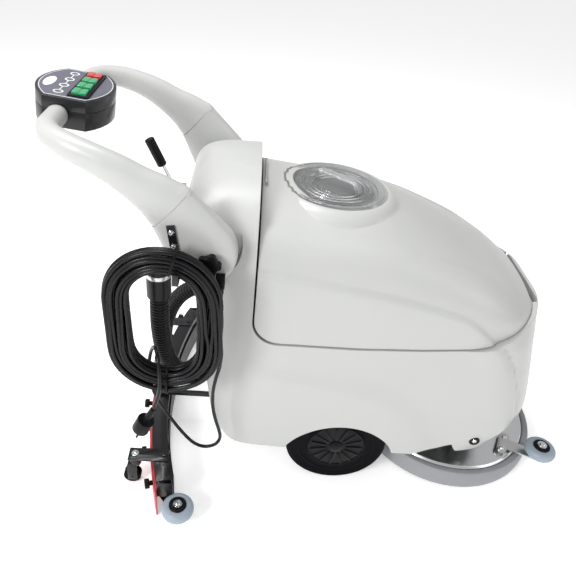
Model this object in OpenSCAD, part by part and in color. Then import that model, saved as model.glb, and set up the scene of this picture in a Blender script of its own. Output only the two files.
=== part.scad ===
// Walk-behind wet and dry floor scrubber, mains powered.
// X runs forwards, Y to the left, Z up. The floor is Z = 0.

/* [Body shells] */
// Width of the body over its sides
body_w = 480; // [440:2:540]
// Height of the body's lower edge above the floor
body_base_z = 124; // [110:1:140]
// Height of the seam under the recovery tank
seam_z = 465; // [440:1:490]
// Height of the tank's crown at its rear end
tank_top_z = 768; // [750:1:800]
// Height of the rear cowl's crown
cowl_top_z = 802; // [790:1:830]
// Wall thickness of the moulded shells
shell_wall = 6; // [4:0.5:8]
// Gap between the body and the recovery tank
seam_gap = 4; // [3:0.5:6]

/* [Drive wheels] */
// Diameter of each drive wheel
wheel_d = 254; // [230:2:270]
// Width of each drive wheel
wheel_w = 46; // [36:1:56]
// Distance over the outer faces of the two wheels
track_w = 452; // [430:2:460]
// Diameter of the drive axle
axle_d = 20; // [16:1:28]

/* [Brush deck] */
// Distance from the drive axle forwards to the brush centre
brush_x = 344; // [330:1:360]
// Diameter of the scrubbing brush
brush_d = 430; // [380:5:440]
// Outer diameter of the deck's bumper ring
bumper_d = 492; // [470:2:520]
// Height of the bumper ring
bumper_h = 56; // [40:1:64]

/* [Lid] */
// Diameter of the clear lid
lid_d = 231; // [200:1:240]
// Diameter of the opening under the lid
lid_bore_d = 200; // [160:1:204]
// Thickness of the lid's flange
lid_t = 8; // [5:0.5:10]

/* [Handle] */
// Distance between the middles of the two arms
arm_span = 472; // [464:2:490]
// Height of the handle's pivot
pivot_z = 700; // [680:1:720]
// Radius of the pivot covers
pivot_r = 70; // [60:1:74]
// Thickness of the pivot covers
pivot_t = 52; // [40:1:56]
// Height of the control panel's middle
panel_z = 933; // [900:1:960]
// Height of the control box
box_h = 61; // [50:1:75]

/* [Squeegee] */
// Radius of the squeegee bar's curve
squeegee_r = 1110; // [1000:5:1200]
// Width of the squeegee bar's channel
bar_w = 40; // [34:1:44]
// Half the length of the squeegee bar
bar_half = 330; // [290:2:334]
// Diameter of the rollers at the squeegee's ends and the body's front
roller_d = 78; // [60:1:84]
// Thickness of the rollers
roller_t = 28; // [20:1:32]
// Diameter of the squeegee's small support wheels
caster_d = 44; // [36:1:46]

/* [Hoses and lead] */
// Outer diameter of the hoses
hose_d = 42; // [36:1:46]
// Diameter of the mains lead
lead_d = 8; // [6:0.5:10]

/* [Fits] */
// Radial clearance of each running fit
run_fit = 0.05; // [0.02:0.01:0.1]
// Gap between pieces that lie beside each other
gap = 0.5; // [0.3:0.1:1]

/* [Hidden] */
$fn = 48;

// The drive axle stands this far forwards of the machine's middle
panel_tilt = 6.7;
panel_x = -629;
box_half_x = 78;
box_half_y = 92;
front_roller_x = 555;
rear_reach = -panel_x + box_half_x * cos(panel_tilt) + box_h * sin(panel_tilt);
axle_x = (rear_reach - front_roller_x - roller_d / 2) / 2;
module machine() { translate([axle_x, 0, 0]) children(); }
module both_sides() { children(); mirror([0, 1, 0]) children(); }

half_w = body_w / 2;
wheel_r = wheel_d / 2;
seam_x = -237;
pivot_x = -345;
pivot_y = arm_span / 2;
cover_in = pivot_y - pivot_t / 2;
lid_x = -65;
lid_tilt = 3;
lid_z = 746;
grey = [0.86, 0.86, 0.84];
black = [0.06, 0.06, 0.07];

// --- curves and skins -------------------------------------------------------
// A table holds [position, value] pairs; curve() passes smoothly through them
function span_of(t, u, i = 0) =
  (i >= len(t) - 2 || u < t[i + 1][0]) ? i : span_of(t, u, i + 1);
function slope_at(t, i) =
  let(a = max(i - 1, 0), b = min(i + 1, len(t) - 1))
  (t[b][1] - t[a][1]) / (t[b][0] - t[a][0]);
function curve(t, u) =
  let(i = span_of(t, u), h = t[i + 1][0] - t[i][0], s = (u - t[i][0]) / h)
  (2 * s ^ 3 - 3 * s ^ 2 + 1) * t[i][1] + (s ^ 3 - 2 * s ^ 2 + s) * h * slope_at(t, i)
  + (3 * s ^ 2 - 2 * s ^ 3) * t[i + 1][1] + (s ^ 3 - s ^ 2) * h * slope_at(t, i + 1);

// A closed skin over a list of rings that have the same number of points
module skin(rings) {
  n = len(rings[0]);
  last = len(rings) - 1;
  polyhedron(
    points = [for (r = rings) each r],
    faces = concat(
      [[for (j = [0:n - 1]) j]],
      [for (i = [0:last - 1]) for (j = [0:n - 1])
        [i * n + j, (i + 1) * n + j, i * n + (j + 1) % n]],
      [for (i = [0:last - 1]) for (j = [0:n - 1])
        [i * n + (j + 1) % n, (i + 1) * n + j, (i + 1) * n + (j + 1) % n]],
      [[for (j = [n - 1:-1:0]) last * n + j]]));
}

function unit(v) = v / norm(v);
function tangent(p, i) = unit(p[min(i + 1, len(p) - 1)] - p[max(i - 1, 0)]);
// Rings round a route; up and side are the half sizes of each ring
function tube_rings(p, up, side, ref, n) = [
  for (i = [0:len(p) - 1])
    let(t = tangent(p, i), s = unit(cross(ref, t)), v = cross(t, s))
    [for (j = [0:n - 1]) p[i] + s * side[i] * cos(-j * 360 / n)
      + v * up[i] * sin(-j * 360 / n)]];
// A smooth point at the fraction u of the way along a list of points
function on_route(p, u) =
  let(m = len(p) - 1, t = u * m, q = [for (k = [0:m]) k])
  [for (a = [0:2]) curve([for (k = q) [k, p[k][a]]], t)];
function smooth_route(p, n) = [for (i = [0:n]) on_route(p, i / n)];
module tube(route, rings, d, sides, ref = [0, 1, 0]) {
  p = smooth_route(route, rings);
  r = [for (q = p) d / 2];
  skin(tube_rings(p, r, r, ref, sides));
}
module rounded_bar(l, w, t) {
  hull() {
    translate([-l / 2 + w / 2, 0, 0]) cylinder(d = w, h = t, $fn = 32);
    translate([l / 2 - w / 2, 0, 0]) cylinder(d = w, h = t, $fn = 32);
  }
}

// --- body -------------------------------------------------------------------
// Tables over height: rear edge, front edge and half width of the body
cowl_rise = cowl_top_z - 802;
rear_edge = [[124, -298], [173, -318], [261, -331], [344, -340], [437, -345], [540, -352],
  [600, -370], [650, -390], [690, -398], [730, -395], [765, -378], [785, -355],
  [797, -328], [802, -300]];
front_edge = [[124, 470], [190, 494], [253, 500], [323, 487], [452, 457], [541, 437],
  [620, 420], [802, 400]];
side_edge = [[124, -14], [200, -2], [300, 0], [480, -2], [560, -4], [620, -9],
  [680, -18], [720, -32], [750, -52], [775, -85], [792, -130], [802, -180]];
body_levels = [124, 145, 170, 200, 253, 323, 390, 452, 500, 541, 575, 600, 625, 650,
  675, 700, 725, 745, 762, 776, 788, 796, 802];
front_round = 190;
rear_round = 62;

function corner(cx, cy, r, a0, n) =
  [for (k = [0:n]) [cx + r * cos(a0 + 90 * k / n), cy + r * sin(a0 + 90 * k / n)]];
function plan(rear, front, half, z) =
  let(rf = min(front_round, half - 4), rr = min(rear_round, half - 4),
    o = concat(
      corner(front - rf, half - rf, rf, 0, 9), corner(rear + rr, half - rr, rr, 90, 5),
      corner(rear + rr, rr - half, rr, 180, 5), corner(front - rf, rf - half, rf, 270, 9)))
  [for (q = o) [q[0], q[1], z]];
function body_ring(z, inset) =
  plan(curve(rear_edge, z) + inset, curve(front_edge, z) - inset,
    half_w + curve(side_edge, z) - inset, z + (z > 560 ? cowl_rise : 0)
    - (z > 790 ? inset : 0));
module body_form(inset) { skin([for (z = body_levels) body_ring(z, inset)]); }

// Side view of the space above and in front of the seam
seam_corner = 60;
module seam_space(shift) {
  rise = shift + seam_z - 465;
  translate([shift, half_w + 60, rise]) rotate([90, 0, 0])
    linear_extrude(body_w + 120)
      polygon(concat(
        [[seam_x, 1000]],
        [for (a = [180:15:270]) [seam_x + seam_corner * (1 + cos(a)),
          465 + seam_corner * (1 + sin(a))]],
        [[0, 465], [136, 472], [245, 482], [300, 491], [340, 506], [385, 526],
          [437, 537], [620, 542], [620, 1000]]));
}

// Recesses in the cowl's sides, which leave room for the handle to tilt
module arm_recess(grow) {
  both_sides() translate([0, half_w + 40, 0]) rotate([90, 0, 0])
    linear_extrude(half_w + 40 - cover_in + 4 + grow) {
      translate([pivot_x, pivot_z]) circle(r = pivot_r + 8 + grow);
      polygon([[pivot_x + 58 + grow, pivot_z + 52], [pivot_x + 20 + grow, 900],
        [pivot_x - 160, 900], [pivot_x - 160, 600 - grow],
        [pivot_x - 40, pivot_z - 68 - grow]]);
    }
}
arch_x = 5;
arch_z = 82;
arch_r = 142;
slot_w = 216;
slot_x = 405;
lip_t = 8;
plate_z = body_base_z + shell_wall + gap;
tab_x = 333;
module lower_body() {
  color(grey) machine() difference() {
    body_form(0);
    seam_space(0);
    // cavity below the tank and under the cowl
    difference() {
      body_form(shell_wall);
      translate([-500, -half_w, body_base_z - 20]) cube([1100, body_w, 20 + shell_wall]);
      seam_space(-shell_wall);
      arm_recess(shell_wall);
    }
    // openings in the floor for the axle and the lift arm's lugs
    translate([-30, -175, 100]) cube([60, 350, 60]);
    both_sides() translate([lift_x - 16, 62, 100]) cube([32, 12, 40]);
    // wheel arches
    both_sides() translate([arch_x, half_w + 20, arch_z]) rotate([90, 0, 0])
      cylinder(r = arch_r, h = 20 + half_w - track_w / 2 + wheel_w + 10);
    // room for the deck: the front edge of the body climbs towards the nose
    translate([0, half_w + 40, 0]) rotate([90, 0, 0]) linear_extrude(body_w + 80)
      polygon([[165, 100], [200, 130], [247, 147], [285, 168], [tab_x - 40, 152],
        [tab_x - 30, 137], [tab_x + 30, 137], [tab_x + 38, 171], [390, 195],
        [430, 226], [520, 262], [560, 100]]);
    translate([brush_x, 0, body_base_z - 30]) cylinder(r = 120, h = 60);
    // filling slot between the tank's nose and the front lip
    translate([slot_x, -slot_w / 2, seam_z - 15]) cube([26, slot_w, 120]);
    // recesses for the handle's pivot covers and arms
    arm_recess(0);
    // bearings for the handle's pivot pins
    translate([pivot_x, half_w, pivot_z]) rotate([90, 0, 0])
      cylinder(r = pin_r + run_fit, h = body_w);
    // opening for the vacuum hose
    translate([-420, 0, hose_top_z]) rotate([0, 90, 0])
      cylinder(d = hose_d + 2 * gap, h = 120);
  }
}
pin_r = 12;
hose_top_z = 440;

module base_frame() {
  color([0.3, 0.3, 0.32]) machine() {
    // floor plate and axle carriers
    difference() {
      translate([-290, -165, plate_z]) cube([455, 330, 4]);
      translate([-230, -120, plate_z - 10]) cube([140, 240, 20]);
      translate([-30, -175, plate_z - 10]) cube([60, 350, 20]);
    }
    both_sides() difference() {
      union() {
        translate([-40, 150, plate_z]) cube([80, 10, 10]);
        translate([-25, 150, wheel_r - 30]) cube([50, 10, 44]);
      }
      translate([0, 140, wheel_r]) rotate([-90, 0, 0])
        cylinder(d = axle_d + 2 * run_fit, h = 30);
    }
    // lugs of the squeegee's lift arm, with their hinge pin
    both_sides() translate([lift_x - 14, 64, 92]) cube([28, 8, plate_z - 90]);
    translate([lift_x, 72, lift_z]) rotate([90, 0, 0]) cylinder(d = 10, h = 144);
  }
}
lift_x = -270;
lift_z = 106;

// --- drive wheels -----------------------------------------------------------
module drive_axle() {
  color("silver") machine() translate([0, track_w / 2 - 3, wheel_r]) rotate([90, 0, 0])
    cylinder(d = axle_d, h = track_w - 6);
}
module tyre(side) {
  color(black) machine() translate([0, side * (track_w / 2 - wheel_w / 2), wheel_r])
    rotate([-90, 0, 0]) rotate_extrude($fn = 64) polygon([
      [axle_d / 2 + run_fit, -wheel_w / 2], [hub_r, -wheel_w / 2], [hub_r + 8, -wheel_w / 2 + 4],
      [hub_r + 20, -wheel_w / 2 + 4],
      [wheel_r - 10, -wheel_w / 2], [wheel_r, -wheel_w / 2 + 9], [wheel_r, wheel_w / 2 - 9],
      [wheel_r - 10, wheel_w / 2], [hub_r + 20, wheel_w / 2 - 4], [hub_r + 8, wheel_w / 2 - 4],
      [hub_r, wheel_w / 2 - 8], [axle_d / 2 + run_fit, wheel_w / 2 - 8]]);
}
hub_r = 73;
module hub_cover(side) {
  face = wheel_w / 2;
  color([0.09, 0.09, 0.1]) machine()
    translate([0, side * (track_w / 2), wheel_r]) rotate([side > 0 ? -90 : 90, 0, 0]) {
      difference() {
        translate([0, 0, -6]) cylinder(r = hub_r - 1, h = 7);
        translate([0, 0, -8]) cylinder(d = axle_d + 4, h = 7);
      }
      for (a = [0:24:359]) rotate([0, 0, a]) translate([26, -2.5, 1]) cube([40, 5, 3]);
      translate([0, 0, 1]) cylinder(r = 18, h = 4);
    }
}
module left_tyre() { tyre(1); }
module right_tyre() { mirror([0, 1, 0]) tyre(1); }
module left_hub_cover() { hub_cover(1); }
module right_hub_cover() { hub_cover(-1); }

// --- inside the body --------------------------------------------------------
module vacuum_motor() {
  color([0.2, 0.2, 0.22]) machine() translate([-300, 0, 560]) {
    cylinder(r = 44, h = 60);
    translate([0, 0, 60]) cylinder(r = 30, h = 70);
    translate([0, 0, -16]) cylinder(r = 40, h = 16);
  }
}
deck_z = 9 + bumper_h;
module brush_motor() {
  color([0.25, 0.25, 0.27]) machine() translate([brush_x, 0, deck_z + 36]) {
    cylinder(r = 60, h = 45);
    translate([0, 0, 45]) cylinder(r = 50, h = 130);
    translate([0, 0, -66 - bumper_h + 56]) cylinder(r = 14, h = 66 + bumper_h - 56);
  }
}

// --- brush deck -------------------------------------------------------------
deck_r = bumper_d / 2 - 20;
module deck_cover() {
  color([0.8, 0.8, 0.82]) machine() translate([brush_x, 0, 0]) rotate_extrude($fn = 64)
    polygon([[14.5, deck_z + 32], [62, deck_z + 32], [110, deck_z + 26], [150, deck_z + 12],
      [deck_r - 6, deck_z + 4], [deck_r - gap, deck_z - 2], [deck_r - gap, 30], [deck_r - 4, 30],
      [deck_r - 4, deck_z - 4], [deck_r - 10, deck_z + 1], [148, deck_z + 8],
      [108, deck_z + 22], [60, deck_z + 28], [14.5, deck_z + 28]]);
}
module bumper_ring() {
  color([0.6, 0.6, 0.62]) machine() translate([brush_x, 0, 0]) rotate_extrude($fn = 64)
    translate([deck_r, 9]) polygon(concat([[0, 2], [2, 0]],
      [for (a = [-60:20:60]) [9 + 11 * cos(a), bumper_h / 2 + (bumper_h / 2) * sin(a) / sin(60)]],
      [[2, bumper_h], [0, bumper_h - 2]]));
}
brush_r = brush_d / 2;
module brush_disc() {
  color([0.1, 0.1, 0.12]) machine() translate([brush_x, 0, 34]) difference() {
    union() {
      cylinder(r = brush_r - 6, h = 14);
      translate([0, 0, 14]) cylinder(r = 40, h = 12);
    }
    translate([0, 0, -1]) cylinder(r = 14 + run_fit, h = 40);
  }
}
module brush_bristles() {
  color(black) machine() translate([brush_x, 0, 0]) difference() {
    cylinder(r = brush_r, h = 34);
    translate([0, 0, -1]) cylinder(r = 70, h = 40);
  }
}
// The two rollers that guard the front corners
front_roller_y = 178;
front_roller_z = 101;
module roller_brackets() {
  color([0.75, 0.76, 0.78]) machine() both_sides() {
    // bolt, washer and arm under the roller
    translate([front_roller_x, -front_roller_y, front_roller_z - roller_t / 2 - 8]) {
      cylinder(d = 12, h = roller_t + 9);
      translate([0, 0, roller_t + 9]) cylinder(d = 24, h = 5);
      cylinder(d = 30, h = 7);
    }
    translate([front_roller_x, -front_roller_y, front_roller_z - roller_t / 2 - 12])
      rotate([0, 0, 157]) translate([-12, -17, 0]) cube([96, 34, 4]);
    // plate under the two screws
    translate([472, -146, front_roller_z - roller_t / 2 - 8.2]) rotate([0, 0, 62])
      rounded_bar(72, 26, 5);
  }
}
module roller(x, y, z, hole_d) {
  color([0.66, 0.7, 0.76]) machine() translate([x, y, z]) rotate_extrude($fn = 64)
    polygon(concat(
      [[hole_d / 2 + run_fit, -roller_t / 2 + gap], [roller_d / 2 - 14, -roller_t / 2 + gap]],
      [for (a = [-75:25:75]) [roller_d / 2 - 12 + 12 * cos(a), (roller_t / 2 - gap) * sin(a)]],
      [[roller_d / 2 - 14, roller_t / 2 - gap], [hole_d / 2 + run_fit, roller_t / 2 - gap]]));
}
module left_front_roller() { roller(front_roller_x, front_roller_y, front_roller_z, 12); }
module right_front_roller() { roller(front_roller_x, -front_roller_y, front_roller_z, 12); }

// --- recovery tank ----------------------------------------------------------
crown = [[-237, 768], [-150, 757], [-60, 750], [0, 743], [60, 729], [130, 704],
  [200, 674], [280, 635], [340, 600], [400, 560], [440, 533]];
tank_rise = tank_top_z - 768;
tank_stations = [-237, -180, -120, -60, 0, 60, 120, 180, 240, 280, 315, 345, 370, 390,
  405, 418, 428, 435];
nose_x = 437;
function tank_half(x) =
  half_w - 4 + (x > nose_x - front_round
    ? sqrt(max(front_round ^ 2 - (x - nose_x + front_round) ^ 2, 1)) - front_round : 0);
function section(x, half, foot, top) = [
  for (a = [0, 3, 8, 14, 22, 32, 44, 58, 74, 90, 106, 122, 136, 148, 158, 166, 172, 177, 180])
    [x, sign(cos(a)) * half * pow(abs(cos(a)), 2 / 2.2),
      foot + (top - foot) * pow(abs(sin(a)), 1 / 3)]];
module tank_form(inset) {
  skin([for (x = tank_stations)
    let(s = min(x, nose_x - inset - 2))
    section(s, tank_half(min(s + inset, nose_x - 1)) - inset, 440,
      curve(crown, s) + tank_rise - inset)]);
}
module lid_frame() {
  translate([lid_x, 0, lid_z + tank_rise]) rotate([0, lid_tilt, 0]) children();
}
module recovery_tank() {
  color(grey) machine() difference() {
    union() {
      intersection() {
        tank_form(0);
        seam_space(seam_gap);
      }
      lid_frame() translate([0, 0, -26]) cylinder(d1 = lid_d + 60, d2 = lid_d + 12, h = 26);
      both_sides() translate([hinge_x, 90, hinge_z]) rotate([90, 0, 0])
        cylinder(r = hinge_r + 3.5, h = 18);
      both_sides() translate([hinge_x - 5, 72, tank_top_z - 14])
        cube([10, 18, hinge_z - tank_top_z + 14]);
    }
    intersection() {
      tank_form(shell_wall);
      seam_space(seam_gap + shell_wall);
      translate([-400, -half_w, 0]) cube([slot_x - shell_wall - 4 + 400, body_w, 1200]);
    }
    lid_frame() translate([0, 0, -60]) cylinder(d = lid_bore_d, h = 120);
    lid_frame() translate([0, 0, -lid_t]) cylinder(d = lid_d + 4, h = 40);
    // the tank's nose stops short of the filling slot
    translate([slot_x, -slot_w / 2 - 1, 400]) cube([100, slot_w + 2, 200]);
    // bore of the hinge knuckles
    translate([hinge_x, half_w, hinge_z]) rotate([90, 0, 0])
      cylinder(r = hinge_r + run_fit, h = body_w);
  }
}
hinge_r = 3;
hinge_x = seam_x + 11;
hinge_z = tank_top_z + 4;
module tank_hinge_pin() {
  color("silver") machine() {
    translate([hinge_x, 92, hinge_z]) rotate([90, 0, 0]) cylinder(r = hinge_r, h = 184);
    // leaf that carries the pin on the cowl
    translate([seam_x + 0.3, -60, hinge_z - 2.5]) cube([11, 120, 5]);
  }
}
module lid_gasket() {
  color(black) machine() lid_frame() translate([0, 0, -lid_t]) difference() {
    cylinder(d = lid_d - 2, h = 1.6);
    translate([0, 0, -1]) cylinder(d = lid_bore_d + 2, h = 5);
  }
}
module tank_lid() {
  color([0.85, 0.87, 0.9, 0.6]) machine() lid_frame() {
    translate([0, 0, -lid_t + 1.8]) cylinder(d = lid_d, h = lid_t - 1.8);
    translate([0, 0, -16]) difference() {
      cylinder(d = lid_bore_d - 3, h = 12);
      translate([0, 0, -1]) cylinder(d = lid_bore_d - 11, h = 11);
    }
    // concentric rings and the bridge handle
    for (d = [lid_d - 40, lid_d - 80]) difference() {
      cylinder(d = d, h = 2);
      translate([0, 0, -1]) cylinder(d = d - 6, h = 4);
    }
    rotate([0, 0, -35]) {
      for (x = [-58, 44]) translate([x, -11, -1]) cube([14, 22, 24]);
      translate([-58, -11, 18]) cube([116, 22, 7]);
    }
  }
}
float_x = -190;
float_z = 620;
module float_cage() {
  color([0.75, 0.75, 0.72]) machine() translate([float_x, 0, float_z]) difference() {
    cylinder(r = 25, h = 95);
    translate([0, 0, 3]) cylinder(r = 22, h = 89);
    for (a = [0, 60, 120]) rotate([0, 0, a]) translate([-40, -7, 12]) cube([80, 14, 70]);
  }
}
module float_ball() {
  color("white") machine() translate([float_x, 0, float_z + 3.3 + 20]) sphere(r = 20);
}

// --- handle -----------------------------------------------------------------
arm_route = [[-409, 0, 793], [-433, 0, 812], [-467, -1, 834], [-502, -2, 856],
  [-540, -5, 874], [-584, -15, 889], [-622, -38, 897], [-641, -71, 900],
  [-645, -111, 900], [-645, -143, 900]];
arm_up = [[0, 53], [1, 45], [2, 36], [3, 31], [4, 27], [5, 24], [6, 22], [7, 21], [8, 20], [9, 20]];
arm_side = [[0, 25], [1, 25], [2, 24.5], [3, 24], [4, 23.5], [5, 23], [6, 22], [7, 21], [8, 20],
  [9, 20]];
arm_rings = 36;
module left_arm() {
  rise = panel_z - 933;
  sink = pivot_z - 700;
  reach = box_half_y + gap + 143 - pivot_y;
  route = [for (i = [0:9]) arm_route[i]
    + [0, pivot_y + reach * (i > 8 ? 1 : 0), sink + (rise - sink) * i / 9]];
  p = smooth_route(route, arm_rings);
  color(grey) machine() skin(tube_rings(p,
    [for (i = [0:arm_rings]) curve(arm_up, 9 * i / arm_rings)],
    [for (i = [0:arm_rings]) curve(arm_side, 9 * i / arm_rings)], [0, 0, 1], 20));
}
module right_arm() { mirror([0, 1, 0]) left_arm(); }
module pivot_cover() {
  color(grey) machine() {
    translate([pivot_x, cover_in + pivot_t, pivot_z]) rotate([90, 0, 0]) {
      cylinder(r = pivot_r, h = pivot_t);
      linear_extrude(pivot_t) polygon([[53, 46], [-24, 129], [-96, 48], [-58, -39]]);
    }
    translate([pivot_x, cover_in + 1, pivot_z]) rotate([90, 0, 0]) cylinder(r = pin_r, h = 42);
  }
}
module left_pivot_cover() { pivot_cover(); }
module right_pivot_cover() { mirror([0, 1, 0]) pivot_cover(); }
knob_x = -328;
knob_z = 694;
knob_y = cover_in + pivot_t;
module clamp_knob() {
  color(black) machine() translate([knob_x, knob_y + gap, knob_z]) rotate([-90, 0, 0]) {
    cylinder(r = 12, h = 12);
    translate([0, 0, 10]) cylinder(r = 18, h = 16);
    for (a = [0:72:359]) rotate([0, 0, a]) translate([16, 0, 12]) cylinder(r = 8, h = 12);
  }
}
module left_clamp_knob() { clamp_knob(); }
module right_clamp_knob() { mirror([0, 1, 0]) clamp_knob(); }

// Control box: two shells with flat sides and curved front and back
module panel_frame() {
  translate([panel_x, 0, panel_z]) rotate([0, panel_tilt, 0]) children();
}
bow = box_half_x - 42;
bow_r = (box_half_y ^ 2 + bow ^ 2) / (2 * bow);
module box_outline(inset) {
  intersection() {
    translate([box_half_x - bow_r, 0]) circle(r = bow_r - inset, $fn = 96);
    translate([bow_r - box_half_x, 0]) circle(r = bow_r - inset, $fn = 96);
    translate([-box_half_x, -box_half_y + inset]) square([2 * box_half_x, 2 * (box_half_y - inset)]);
  }
}
split = 24;
module box_base() {
  color(black) machine() panel_frame() translate([0, 0, -box_h]) difference() {
    linear_extrude(box_h - split - 0.4) box_outline(0);
    translate([0, 0, 3]) linear_extrude(box_h) box_outline(3);
  }
}
module box_top() {
  color(black) machine() panel_frame() translate([0, 0, -split]) difference() {
    linear_extrude(split) box_outline(0);
    translate([0, 0, -3]) linear_extrude(split) box_outline(3);
    for (y = switch_y) translate([bezel_x - 15, y - 13, 10]) cube([30, 26, 30]);
  }
}
module control_label() {
  color([0.42, 0.41, 0.5]) machine() panel_frame() difference() {
    translate([0, 0, 0.05]) linear_extrude(0.8) box_outline(5);
    translate([bezel_x - 21, -bezel_half, -1]) cube([42, 2 * bezel_half, 4]);
  }
}
bezel_x = 22;
bezel_half = 78;
switch_pitch = 38;
switch_y = [-57, -19, 19, 57];
module switch_bezel() {
  color(black) machine() panel_frame() difference() {
    translate([bezel_x - 20.7, 0.3 - bezel_half, 0.05]) cube([41.4, 2 * bezel_half - 0.6, 4]);
    for (y = switch_y) translate([bezel_x - 15, y - 13, -1]) cube([30, 26, 8]);
  }
}
module rocker(k, tint) {
  color(tint) machine() panel_frame() translate([bezel_x, switch_y[k], 0.3]) {
    difference() {
      translate([0, 12.4, 4]) rotate([90, 0, 0]) cylinder(r = 14.4, h = 24.8);
      translate([-20, -20, -20]) cube([40, 40, 20.6]);
      translate([-20, -20, 9]) cube([40, 40, 20]);
      translate([0, -20, 4]) rotate([0, -10, 0]) translate([0, 0, 3.6]) cube([40, 40, 20]);
    }
  }
}
module vacuum_switch() { rocker(0, [0.1, 0.6, 0.25]); }
module water_switch() { rocker(1, [0.1, 0.6, 0.25]); }
module brush_switch() { rocker(2, [0.1, 0.6, 0.25]); }
module power_switch() { rocker(3, [0.75, 0.1, 0.1]); }
module control_board() {
  color([0.1, 0.35, 0.2]) machine() panel_frame() {
    translate([-50, -70, -40]) cube([100, 140, 1.6]);
    for (y = [-45, 0, 45]) translate([-30, y - 9, -38.4]) cube([22, 18, 10]);
    both_sides() translate([-40, 60, -box_h + 3]) cylinder(r = 4, h = box_h - 43);
  }
}

// Hook for the coiled lead, on the right cover
hook_y = -(cover_in + pivot_t);
hook_z = 682;
module cable_hook() {
  color([0.12, 0.12, 0.13]) machine() {
    translate([-399, hook_y - gap - 3, hook_z]) rotate([0, -8, 0]) cube([16, 3, 84]);
    translate([-391, coil_y - coil_half_t - 6, hook_z])
      cube([12, hook_y - gap - coil_y + coil_half_t + 6, 3]);
    translate([-391, coil_y - coil_half_t - 6, hook_z]) cube([12, 3, 24]);
  }
}

// --- mains lead -------------------------------------------------------------
// The lead leaves the gland, is wound on the hook and ends in its plug
gland = [-306, -275, 640];
module cable_gland() {
  color(black) machine() translate([gland[0], hook_y - gap, gland[2]]) {
    translate([-9, -22, 3]) cube([18, 22, 22]);
    translate([0, gland[1] - hook_y + gap, -14]) cylinder(r = 7.5, h = 17);
  }
}
coil_x = -413;
coil_z = 567;
coil_y = -312;
coil_half_t = 21;
coil_out = 118;
coil_in = 66;
coil_straight = 124;
lead_in = [[-306, -275, 625.5], [-305, -275, 600], [-304, -275, 575], [-305, -279, 552],
  [-309, -286, 532]];
lead_out = [[-298, -309, 463], [-308, -308, 420], [-313, -305, 375], [-312, -299, 325],
  [-305, -292, 275], [-295, -287, 232], [-292, -283, 203], [-303, -281, 175], [-330, -280, 163],
  [-357, -280, 175], [-386, -279, 215], [-418, -275, 268], [-446, -270, 322], [-458, -267, 378],
  [-455, -266, 430], [-448, -270, 462], [-440, -285, 485], [-431, -305, 493], [-424, -325, 483],
  [-420, -338, 457], [-420, -342, 420], [-427, -341.5, 386], [-436, -340, 356]];
module cord_lead() {
  color(black) machine() {
    tube(lead_in, 9, lead_d, 8, [0.3, 1, 0.2]);
    tube(lead_out, 60, lead_d, 8, [0.3, 1, 0.2]);
  }
}
module stadium(r) {
  union() {
    translate([0, -coil_straight / 2]) circle(r = r);
    translate([0, coil_straight / 2]) circle(r = r);
    translate([-r, -coil_straight / 2]) square([2 * r, coil_straight]);
  }
}
module cord_coil() {
  color(black) machine() translate([coil_x, coil_y + coil_half_t, coil_z]) rotate([90, 0, 0])
    linear_extrude(2 * coil_half_t) difference() {
      stadium(coil_out);
      stadium(coil_in);
    }
}
module mains_plug() {
  color(black) machine() translate(lead_out[len(lead_out) - 1]) rotate([0, 205, 0]) {
    translate([0, 0, 0.5]) cylinder(r1 = 6, r2 = 8, h = 40);
    translate([0, 0, 40.5]) cylinder(r = 19, h = 34);
    color("silver") for (y = [-9.5, 9.5]) translate([0, y, 74]) cylinder(r = 2.4, h = 19);
  }
}

// --- squeegee lift ----------------------------------------------------------
lever_x = -417;
lever_y = -85;
lever_z = 748;
lever_lean = 25;
module lever_bracket() {
  color("silver") machine() translate([lever_x, lever_y, lever_z]) {
    both_sides() translate([-12, 8, -14]) cube([24, 4, 28]);
    translate([10, -12, -14]) cube([12, 24, 28]);
    rotate([90, 0, 0]) translate([0, 0, -16]) cylinder(r = 4, h = 32);
  }
}
module lift_lever() {
  color("silver") machine() translate([lever_x, lever_y, lever_z]) rotate([0, -lever_lean, 0]) {
    difference() {
      translate([0, 7.5, 0]) rotate([90, 0, 0]) cylinder(r = 9, h = 15);
      translate([0, 9, 0]) rotate([90, 0, 0]) cylinder(r = 4 + run_fit, h = 18);
    }
    translate([0, 0, 8]) cylinder(r = 4.5, h = 100);
  }
}
module lever_grip() {
  color(black) machine() translate([lever_x, lever_y, lever_z]) rotate([0, -lever_lean, 0])
    translate([0, 0, 62]) difference() {
      cylinder(r = 10, h = 62);
      translate([0, 0, -1]) cylinder(r = 4.5 + run_fit, h = 48);
    }
}

swivel_x = 640 - squeegee_r;
port_r = 24;
arm_z = 103;
module lift_arm() {
  color([0.08, 0.08, 0.09]) machine() difference() {
    union() {
      both_sides() translate([lift_x - 10, 50, arm_z - 4]) cube([20, 12, 14]);
      both_sides() translate([swivel_x + 10, 50, arm_z]) cube([lift_x - swivel_x - 10, 12, 10]);
      translate([swivel_x - 4, -62, arm_z]) cube([36, 124, 8]);
      translate([swivel_x, 0, arm_z]) cylinder(r = port_r + 12, h = 8);
    }
    translate([swivel_x, 0, arm_z - 10]) cylinder(r = port_r + run_fit, h = 40);
    translate([lift_x, 80, lift_z]) rotate([90, 0, 0]) cylinder(r = 5 + run_fit, h = 160);
  }
}

// --- squeegee ---------------------------------------------------------------
bar_top = 96;
bar_low = 50;
end_roller_x = -384;
end_roller_y = 373;
end_roller_z = 50;
caster_x = -504;
caster_y = 262;
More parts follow.
